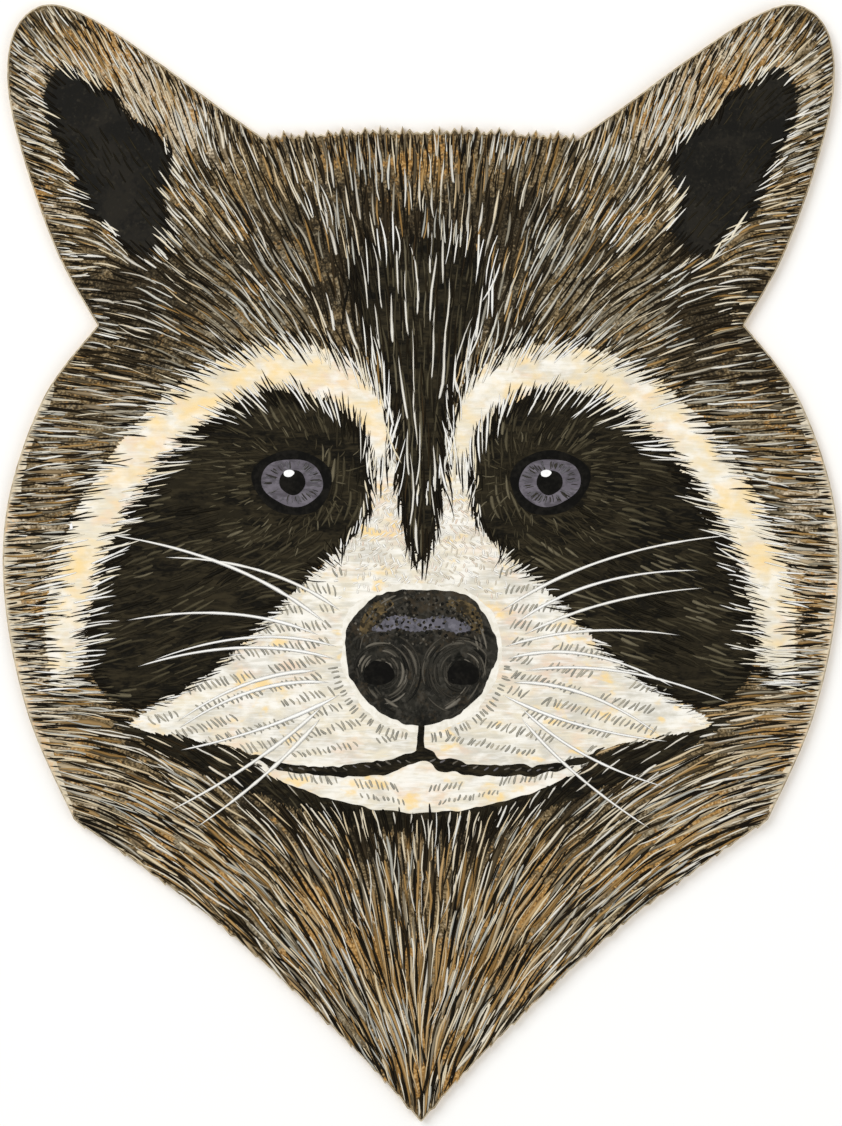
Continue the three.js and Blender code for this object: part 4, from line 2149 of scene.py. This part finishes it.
@dataclass
class FaceFilms:
    """The flat shapes of near-black and cream that the hairs are brushed over."""

    board: BoardShape
    flow: FurFlow
    shelf: PaintShelf
    speck: Pair = (-117 * MM, 12 * MM)

    def film(self, name: str, loop: Array, base: float, top: float, finish: FilmPaint) -> None:
        """Makes one film, from a base to a top in millimetres above the board's front."""
        front = self.board.front
        self.shelf.dress(film_from_loop(name, loop, front + base * MM, front + top * MM), finish)

    def paint(self, markings: Sequence[Marking]) -> None:
        """Makes a film for each marking.

        Args:
            markings: the markings.
        """
        for seed, marking in enumerate(markings, start=70):
            loop = marking.combed_loop(self.flow, seed)
            self.film(marking.name, loop, marking.base, marking.top, marking.finish)

    def paint_eyes(self, plan: EyePlan) -> None:
        """Makes the lids, irises, pupils and catchlights.

        Args:
            plan: the eyes' sizes.
        """
        for side, label in SIDES:
            rings = (
                ("rim", plan.ellipse(plan.rim, side), 0.08, 0.135, PUPIL_FILM),
                ("iris", plan.ellipse(plan.iris, side), 0.12, 0.17, IRIS_FILM),
                ("pupil", plan.ellipse(plan.pupil, side, 32), 0.16, 0.20, PUPIL_FILM),
            )
            for part, loop, base, top, finish in rings:
                self.film(f"eye_{part}_{label}", loop, base, top, finish)
            centre = np.array(plan.centre)
            glint = plan.ellipse(plan.glint, Side.RIGHT, 20) - centre
            glint = glint + centre * (side.value, 1) + plan.glint_offset
            self.film(f"eye_glint_{label}", glint, 0.19, 0.235, GLINT_FILM)

    def drip_speck(self) -> None:
        """Lets one small drop of white paint fall on the left cheek."""
        turn = np.linspace(0, 2 * math.pi, 14, endpoint=False)
        loop = np.stack([np.cos(turn) * 0.5, np.sin(turn) * (1.1 + 0.3 * np.sin(turn))], axis=-1)
        self.film("paint_speck", loop * MM + self.speck, 0.15, 0.26, GLINT_FILM)


@dataclass
class Detailer:
    """Hatches the muzzle, draws over the nose and eyes, and brushes the whiskers.

    A row of ticks is x and y of its start, its heading, its length, and a tick's shortest and
    longest length, in millimetres and degrees on the right half. The other sizes without a unit are
    millimetres too, lash rings are given as shares of the eye's rim with a number of lashes, and
    the fan is the highest whisker's heading and the angle from there to the lowest.
    """

    face: Groomer
    rows: Rows = (
        (27, -3, 4, 9, 2.6, 4.4), (29, -9, 4, 18, 2.6, 4.4), (30, -15, -1, 28, 2.6, 4.4),
        (31, -20.5, -5, 38, 2.6, 4.4), (31.5, -26, -9, 47, 2.6, 4.4), (31.5, -31.5, -13, 55, 2.6, 4.4),
        (31, -37, -15, 62, 2.6, 4.4), (30, -42.5, -16, 66, 2.6, 4.4), (27, -48, -15, 68, 2.6, 4.4),
        (21, -53.5, -13, 66, 2.6, 4.4), (9, -58.5, -10, 56, 2.0, 3.4), (3, -75.5, 6, 42, 2.4, 3.8),
        (6, -80, 9, 22, 1.4, 2.4),
    )
    slant: float = 62.0
    tick_pitch: float = 1.7 * MM
    tick_patch: float = 9 * MM
    ring_angles: Triple = (-172, -7, 3.5)
    ring_size: Pair = (28 * MM, 26 * MM)
    ring_centre: Pair = (0, -31 * MM)
    ring_gap: float = 3 * MM
    mouth_dashes: tuple[float, float, int] = (4, 54, 15)
    bridge_size: Pair = (30, 27)
    nose_top: float = -19 * MM
    nostril: Pair = (13.4, -36.5)
    nostril_radii: Triple = (3.6, 14.5, 0.8)
    nose_rim: Pair = (0.0, -31.5)
    nose_rim_radii: tuple[float, ...] = (18.4, 19.6, 20.8, 22.0)
    lash_rings: tuple[tuple[float, int], ...] = ((1.12, 40), (1.38, 46), (1.68, 44), (2.0, 40))
    whiskers: int = 10
    whisker_fan: Pair = (24, 62)
    plain: tuple[float, ...] = (0.0, 0.06, 0.3, 0.7, 0.94, 1.0)
    plain_widths: tuple[float, ...] = (0.0, 0.72, 1.0, 0.95, 0.6, 0.0)

    def _touch(
        self, name: str, finish: HairPaint, roots: Array, tips: Array, tones: Array, widths: Pair,
        level: float, seed: int, ridge: float = 0.012, spread: float = 0.004,
    ) -> None:
        """Brushes short, nearly straight touches.

        Args:
            name: the piece's name.
            finish: the paint.
            roots: rows of x, y of their roots.
            tips: rows of x, y of their tips.
            tones: each one's place in the palette.
            widths: the narrowest and the widest of them, in millimetres.
            level: millimetres from the board's front to the lowest of them.
            seed: fixes what is random.
            ridge: millimetres by which their middles stand above their sides.
            spread: millimetres from the lowest to the highest of them.
        """
        rng = np.random.default_rng(seed)
        count = len(roots)
        brush = Brush(widths[1], ridge, self.plain, self.plain_widths, self.plain_widths)
        share = np.array(brush.stations)[None, :, None]
        travel = (tips - roots)[:, None, :]
        bow = np.sin(np.pi * share) * rng.normal(0, 0.06, (count, 1, 1))
        paths = roots[:, None, :] + travel * share + leftward(travel) * bow
        sizes = rng.uniform(*widths, count) * MM
        heights = rng.uniform(level, level + spread, count) * MM
        self.face.lay(name, finish, brush, Hairs(paths, sizes, heights, tones), seed)

    def _spread(self, count: int, size: Pair, gap: float, seed: int) -> Array:
        """Spreads points over an ellipse.

        Args:
            count: points tried.
            size: half the ellipse's width and height, in millimetres.
            gap: least distance between two points, in millimetres.
            seed: fixes where they fall.

        Returns:
            Rows of x, y.
        """
        rng = np.random.default_rng(seed)
        spots = np.empty((0, 2))
        for spot in rng.uniform(-1, 1, (count, 2)):
            place = spot * size
            if np.hypot(*spot) < 1 and (np.hypot(*(spots - place).T) > gap).all():
                spots = np.vstack([spots, place])
        return spots * MM

    def hatch_muzzle(self) -> None:
        """Draws rows of grey ticks over the muzzle and the lip, and a ring of them at the nose."""
        rng = np.random.default_rng(61)
        roots, tips = [], []
        for x, y, turn, length, shortest, longest in self.rows:
            for side in (1, -1):
                along = np.arange(0, length * MM, self.tick_pitch)[:, None]
                spots = np.array((x, y)) * MM + along * polar(np.array(turn))
                spots = spots + rng.normal(0, 0.22 * MM, spots.shape)
                keep = patches(spots * (side, 1), self.tick_patch, 62) > 0.28
                keep &= np.isin(self.face.plan.zone_at(spots), (MUZZLE, Zone.LIP))
                spots = spots[keep]
                slant = turn + self.slant + np.degrees(rng.normal(0, 0.12, len(spots)))
                reach = polar(slant) * rng.uniform(shortest, longest, (len(spots), 1)) * MM / 2
                roots.append((spots - reach) * (side, 1))
                tips.append((spots + reach) * (side, 1))
        angles = np.arange(*self.ring_angles)
        out = polar(angles + rng.normal(0, 0.9, len(angles)))
        ring = out * self.ring_size + self.ring_centre
        clear = np.abs(ring[:, 0]) > self.ring_gap
        roots.append(ring[clear])
        tips.append((ring + out * rng.uniform(2.2, 3.6, (len(out), 1)) * MM)[clear])
        roots, tips = np.vstack(roots), np.vstack(tips)
        tones = rng.beta(1.2, 1.6, len(roots)).clip(*TONE_LIMITS)
        self._touch(
            "muzzle_ticks", TICK_HAIR, roots, tips, tones, (0.5, 0.82), 0.125, 63, spread=0.015
        )

    def fleck_mouth(self) -> None:
        """Draws small grey dashes along the mouth."""
        rng = np.random.default_rng(64)
        level, sag, width = -65.2, 4.0, 70
        x = np.linspace(*self.mouth_dashes)
        y = level - sag * np.sin(np.pi * x / width)
        middles = np.concatenate([np.stack([x, y], axis=-1), np.stack([-x, y], axis=-1)]) * MM
        middles = middles + rng.normal(0, 0.25 * MM, middles.shape)
        angle = rng.uniform(0.2, 0.7, len(middles)) * np.sign(middles[:, 0])
        reach = polar(np.degrees(angle)) * rng.uniform(0.7, 1.25, (len(middles), 1)) * MM
        tones = rng.uniform(0.7, 0.99, len(middles))
        self._touch(
            "mouth_flecks", NOSE_HAIR, middles - reach, middles + reach, tones, (0.5, 0.75), 0.165,
            65, spread=0.01,
        )

    def dab_bridge(self) -> None:
        """Dabs overlapping scales of white, pink and grey on the bridge of the snout."""
        rng = np.random.default_rng(68)
        spots = self._spread(6000, self.bridge_size, 1.2, 69)
        keep = self.face.plan.zone_at(spots) == MUZZLE
        spots = spots[keep & (rng.uniform(-26, 8, len(spots)) * MM < spots[:, 1])]
        sway, fan, row = 34, 30 / (20 * MM), 0.8 * MM
        lean = sway * np.sign(np.sin(spots[:, 1] / row))
        turn = 90 + fan * spots[:, 0] + lean + rng.normal(0, 9, len(spots))
        reach = polar(turn) * rng.uniform(0.7, 1.25, (len(spots), 1)) * MM
        tones = rng.uniform(0, 1, len(spots)).clip(*TONE_LIMITS)
        self._touch(
            "bridge_dabs", DAB_HAIR, spots - reach, spots + reach, tones, (0.5, 0.85), 0.1, 68,
            ridge=0.003, spread=0.008,
        )

    def swirl_nose(self) -> None:
        """Draws curved strokes round the nostrils and along the rim of the nose."""
        rng = np.random.default_rng(66)
        arcs = []
        for side in (1, -1):
            for radius in np.arange(*self.nostril_radii):
                for _ in range(5):
                    start, sweep = rng.uniform(-40, 220), rng.uniform(24, 80)
                    place = (self.nostril[0] * side, self.nostril[1])
                    arcs.append((*place, radius + rng.normal(0, 0.3), start, sweep, side))
            for radius in self.nose_rim_radii:
                for start in (-66, -44, -20, 6, 30, 52):
                    sweep = rng.uniform(10, 26)
                    arcs.append((*self.nose_rim, radius + rng.normal(0, 0.4), start, sweep, side))
        x, y, radii, starts, sweeps, sides = np.array(arcs).T[..., None]
        share = np.linspace(0, 1, 9)
        swell = tuple(np.sin(np.pi * share) ** 0.55)
        angles = starts + sweeps * share
        angles = np.where(sides > 0, angles, 180 - angles)
        paths = (np.stack([x, y], axis=-1) + polar(angles) * radii[..., None]) * MM
        zones = self.face.plan.zone_at(paths.reshape(-1, 2)).reshape(angles.shape)
        inside = (zones == NOSE).all(axis=1) & (paths[..., 1] > -52 * MM).all(axis=1)
        paths = paths[inside & (rng.uniform(0, 1, len(paths)) < 0.8)]
        brush = Brush(1.1, 0.012, tuple(share), swell, swell)
        count = len(paths)
        widths = rng.lognormal(-0.25, 0.4, count).clip(0.35, 1.6) * MM
        tones = rng.beta(1.1, 1.5, count).clip(0.02, 0.86)
        hairs = Hairs(paths, widths, rng.uniform(0.205, 0.215, count) * MM, tones)
        self.face.lay("nose_swirls", NOSE_HAIR, brush, hairs, 67)

    def stipple_nose(self) -> None:
        """Dots the sheen on the nose with black, and flecks the skin beside it."""
        layers = (
            ("nose_flecks", 1200, (22, 9), 1.5, (0.35, 0.85), 0.225, 72),
            ("nose_dots", 1500, (20, 6.4), 1.75, (0.0, 0.08), 0.231, 73),
        )
        for name, count, size, gap, tone, level, seed in layers:
            rng = np.random.default_rng(seed)
            spots = self._spread(count, size, gap, seed) + (0, self.nose_top)
            spots[:, 1] += (1.6 - 3.4 * (spots[:, 0] / (16 * MM)) ** 2) * MM * 0.4
            keep = patches(spots, 4.5 * MM, 74) > 0.3
            spots = spots[keep & (self.face.plan.zone_at(spots) == NOSE)]
            reach = polar(rng.uniform(30, 150, len(spots)))
            reach = reach * rng.uniform(0.3, 0.6, (len(spots), 1)) * MM
            tones = rng.uniform(*tone, len(spots)).clip(*TONE_LIMITS)
            ends = (spots - reach, spots + reach)
            self._touch(name, NOSE_HAIR, *ends, tones, (0.6, 1.25), level, seed)

    def line_eyes(self) -> None:
        """Draws brown and pale lashes round both eyes, and streaks in the irises."""
        rng = np.random.default_rng(70)
        eye = self.face.plan.eye
        roots, tips, tones = [], [], []
        for side in (1, -1):
            for ring, count in self.lash_rings:
                turn = np.linspace(0, 360, count, endpoint=False) + rng.normal(0, 4, count)
                out = polar(turn)
                start = out * np.array(eye.rim) * ring * rng.normal(1, 0.03, (count, 1))
                root = start + eye.centre
                tip = root + unit(out + (0.45, -0.12)) * rng.uniform(2.0, 4.6, (count, 1)) * MM
                keep = (rng.uniform(0, 1, count) < 0.75) & (self.face.plan.zone_at(tip) == MASK)
                roots.append(root[keep] * (side, 1))
                tips.append(tip[keep] * (side, 1))
                tones.append(rng.choice([0.7, 0.85, 0.97], int(keep.sum()), p=[0.5, 0.33, 0.17]))
        self._touch(
            "lashes", MASK_HAIR, np.vstack(roots), np.vstack(tips), np.concatenate(tones),
            (0.32, 0.62), 0.14, 75, spread=0.01,
        )
        out = polar(rng.uniform(0, 360, 150)) * np.array(eye.iris)
        sides = np.stack([rng.choice([-1, 1], len(out)), np.ones(len(out))], axis=-1)
        near, far = rng.uniform(0.5, 0.74, (len(out), 1)), rng.uniform(0.8, 0.97, (len(out), 1))
        ends = ((out * reach + eye.centre) * sides for reach in (near, far))
        tones = rng.choice([0.3, 0.42, 0.97, 0.99], len(out), p=[0.2, 0.3, 0.25, 0.25])
        self._touch("iris_streaks", NOSE_HAIR, *ends, tones, (0.25, 0.5), 0.170, 78)

    def brush_whiskers(self) -> None:
        """Brushes the whiskers of both sides, crossing each other now and then."""
        rng = np.random.default_rng(76)
        share = np.linspace(0, 1, 20)
        swell = tuple(np.minimum(share * 7, 1) ** 0.7 * (1 - share) ** 0.4)
        brush = Brush(1.3, 0.06, tuple(share), swell, swell)
        highest, spread = self.whisker_fan
        t = share[:, None]
        paths = []
        for side in (1, -1):
            for place in np.linspace(0, 1, self.whiskers):
                start = np.array([27 + 8 * math.sin(place * 20) ** 2, -16 - 36 * place])
                way = polar(np.array(highest - spread * place + rng.normal(0, 4)))
                length = rng.uniform(58, 80) - 16 * place
                across = leftward(way)
                bow = rng.uniform(5, 10) * (1 if place < 0.7 else -0.6)
                middle = start + way * length * 0.45 + across * bow
                end = start + way * length - across * rng.uniform(1, 6) * (1 if place < 0.7 else -1)
                curve = start * (1 - t) ** 2 + 2 * middle * t * (1 - t) + end * t**2
                paths.append(curve * (side, 1) * MM)
        count = len(paths)
        heights = (0.235 + np.arange(count) * 0.002) * MM
        widths = brush.width * MM * rng.uniform(0.8, 1.25, count)
        hairs = Hairs(np.array(paths), widths, heights, rng.uniform(0.02, 0.3, count))
        self.face.lay("whiskers", WHITE_HAIR, brush, hairs, 77)


# Studio


@dataclass(frozen=True)
class Studio:
    """Pale floor, soft lights and a camera that looks straight down on the board.

    A lamp is a name, a place, a width and a power in watts.
    """

    picture: tuple[int, int] = (842, 1126)
    lens: float = 100.0
    sensor: float = 36.0
    sight: float = 50.0
    margin: float = 1.006
    floor_size: float = 8.0
    floor_finish: Finish = PlainFinish("Pale floor", (252, 252, 250), 0.9)
    room_colour: Colour = (255, 255, 255)
    room_light: float = 0.52
    lamps: tuple[tuple[str, Triple, float, float], ...] = (
        ("key", (-0.9, 0.8, 1.5), 1.3, 20.0), ("fill", (1.1, -0.5, 1.3), 1.6, 9.5),
    )

    def set_camera(self, board: BoardShape) -> None:
        """Makes the camera, so that the board fills the picture.

        Args:
            board: the board's outline.
        """
        size = (board.high - board.low) * self.margin
        tall = max(size[1], size[0] / (self.picture[0] / self.picture[1]))
        camera = bpy.data.objects.new("camera", bpy.data.cameras.new("camera"))
        camera.data.lens = self.lens
        camera.data.sensor_width = self.sensor
        camera.data.clip_end = self.sight
        camera.location = (0, 0, board.front + tall * self.lens / self.sensor)
        bpy.context.scene.collection.objects.link(camera)
        bpy.context.scene.camera = camera

    def lay_floor(self, shelf: PaintShelf) -> None:
        """Makes the floor that the board lies on.

        Args:
            shelf: the finishes.
        """
        deselect_all()
        bpy.ops.mesh.primitive_plane_add(size=self.floor_size)
        floor = bpy.context.active_object
        floor.name = "floor"
        shelf.coat(floor, self.floor_finish)

    def hang_lights(self) -> None:
        """Hangs two wide lamps and lights the room evenly."""
        for name, place, width, power in self.lamps:
            data = bpy.data.lights.new(name, "AREA")
            data.size = width
            data.energy = power
            lamp = bpy.data.objects.new(name, data)
            lamp.location = place
            lamp.rotation_mode = "QUATERNION"
            lamp.rotation_quaternion = lamp.location.to_track_quat("Z", "Y")
            bpy.context.scene.collection.objects.link(lamp)
        world = bpy.data.worlds.new("room")
        bpy.context.scene.world = world
        world.use_nodes = True
        background = world.node_tree.nodes["Background"]
        background.inputs["Color"].default_value = linear(self.room_colour)
        background.inputs["Strength"].default_value = self.room_light
        bpy.context.scene.view_settings.view_transform = "Standard"


def main() -> None:
    """Builds everything in order."""
    logging.basicConfig(level=logging.INFO, format="%(name)s: %(message)s")
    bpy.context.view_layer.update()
    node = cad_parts[BOARD_NODE]
    shelf, flow, board, studio = PaintShelf(), FurFlow(), BoardShape(node.data), Studio()
    studio.set_camera(board)
    studio.lay_floor(shelf)
    studio.hang_lights()
    painted = PaintedBoard(board, shelf)
    painted.dress_board(node)
    painted.brush_ground()
    painted.wash_rim()
    films = FaceFilms(board, flow, shelf)
    for markings in (MARKINGS, SNOUT_MARKINGS, NOSE_MARKINGS):
        films.paint(markings)
    films.paint_eyes(EyePlan())
    films.drip_speck()
    groomer = Groomer(board, FacePlan(board), flow, shelf)
    for coat in COATS:
        groomer.grow(coat)
    for fringe in FRINGES:
        groomer.edge(fringe)
    detailer = Detailer(groomer)
    detailer.hatch_muzzle()
    detailer.fleck_mouth()
    detailer.dab_bridge()
    detailer.swirl_nose()
    detailer.stipple_nose()
    detailer.line_eyes()
    detailer.brush_whiskers()
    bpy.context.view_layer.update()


if __name__ == "__main__":
    main()
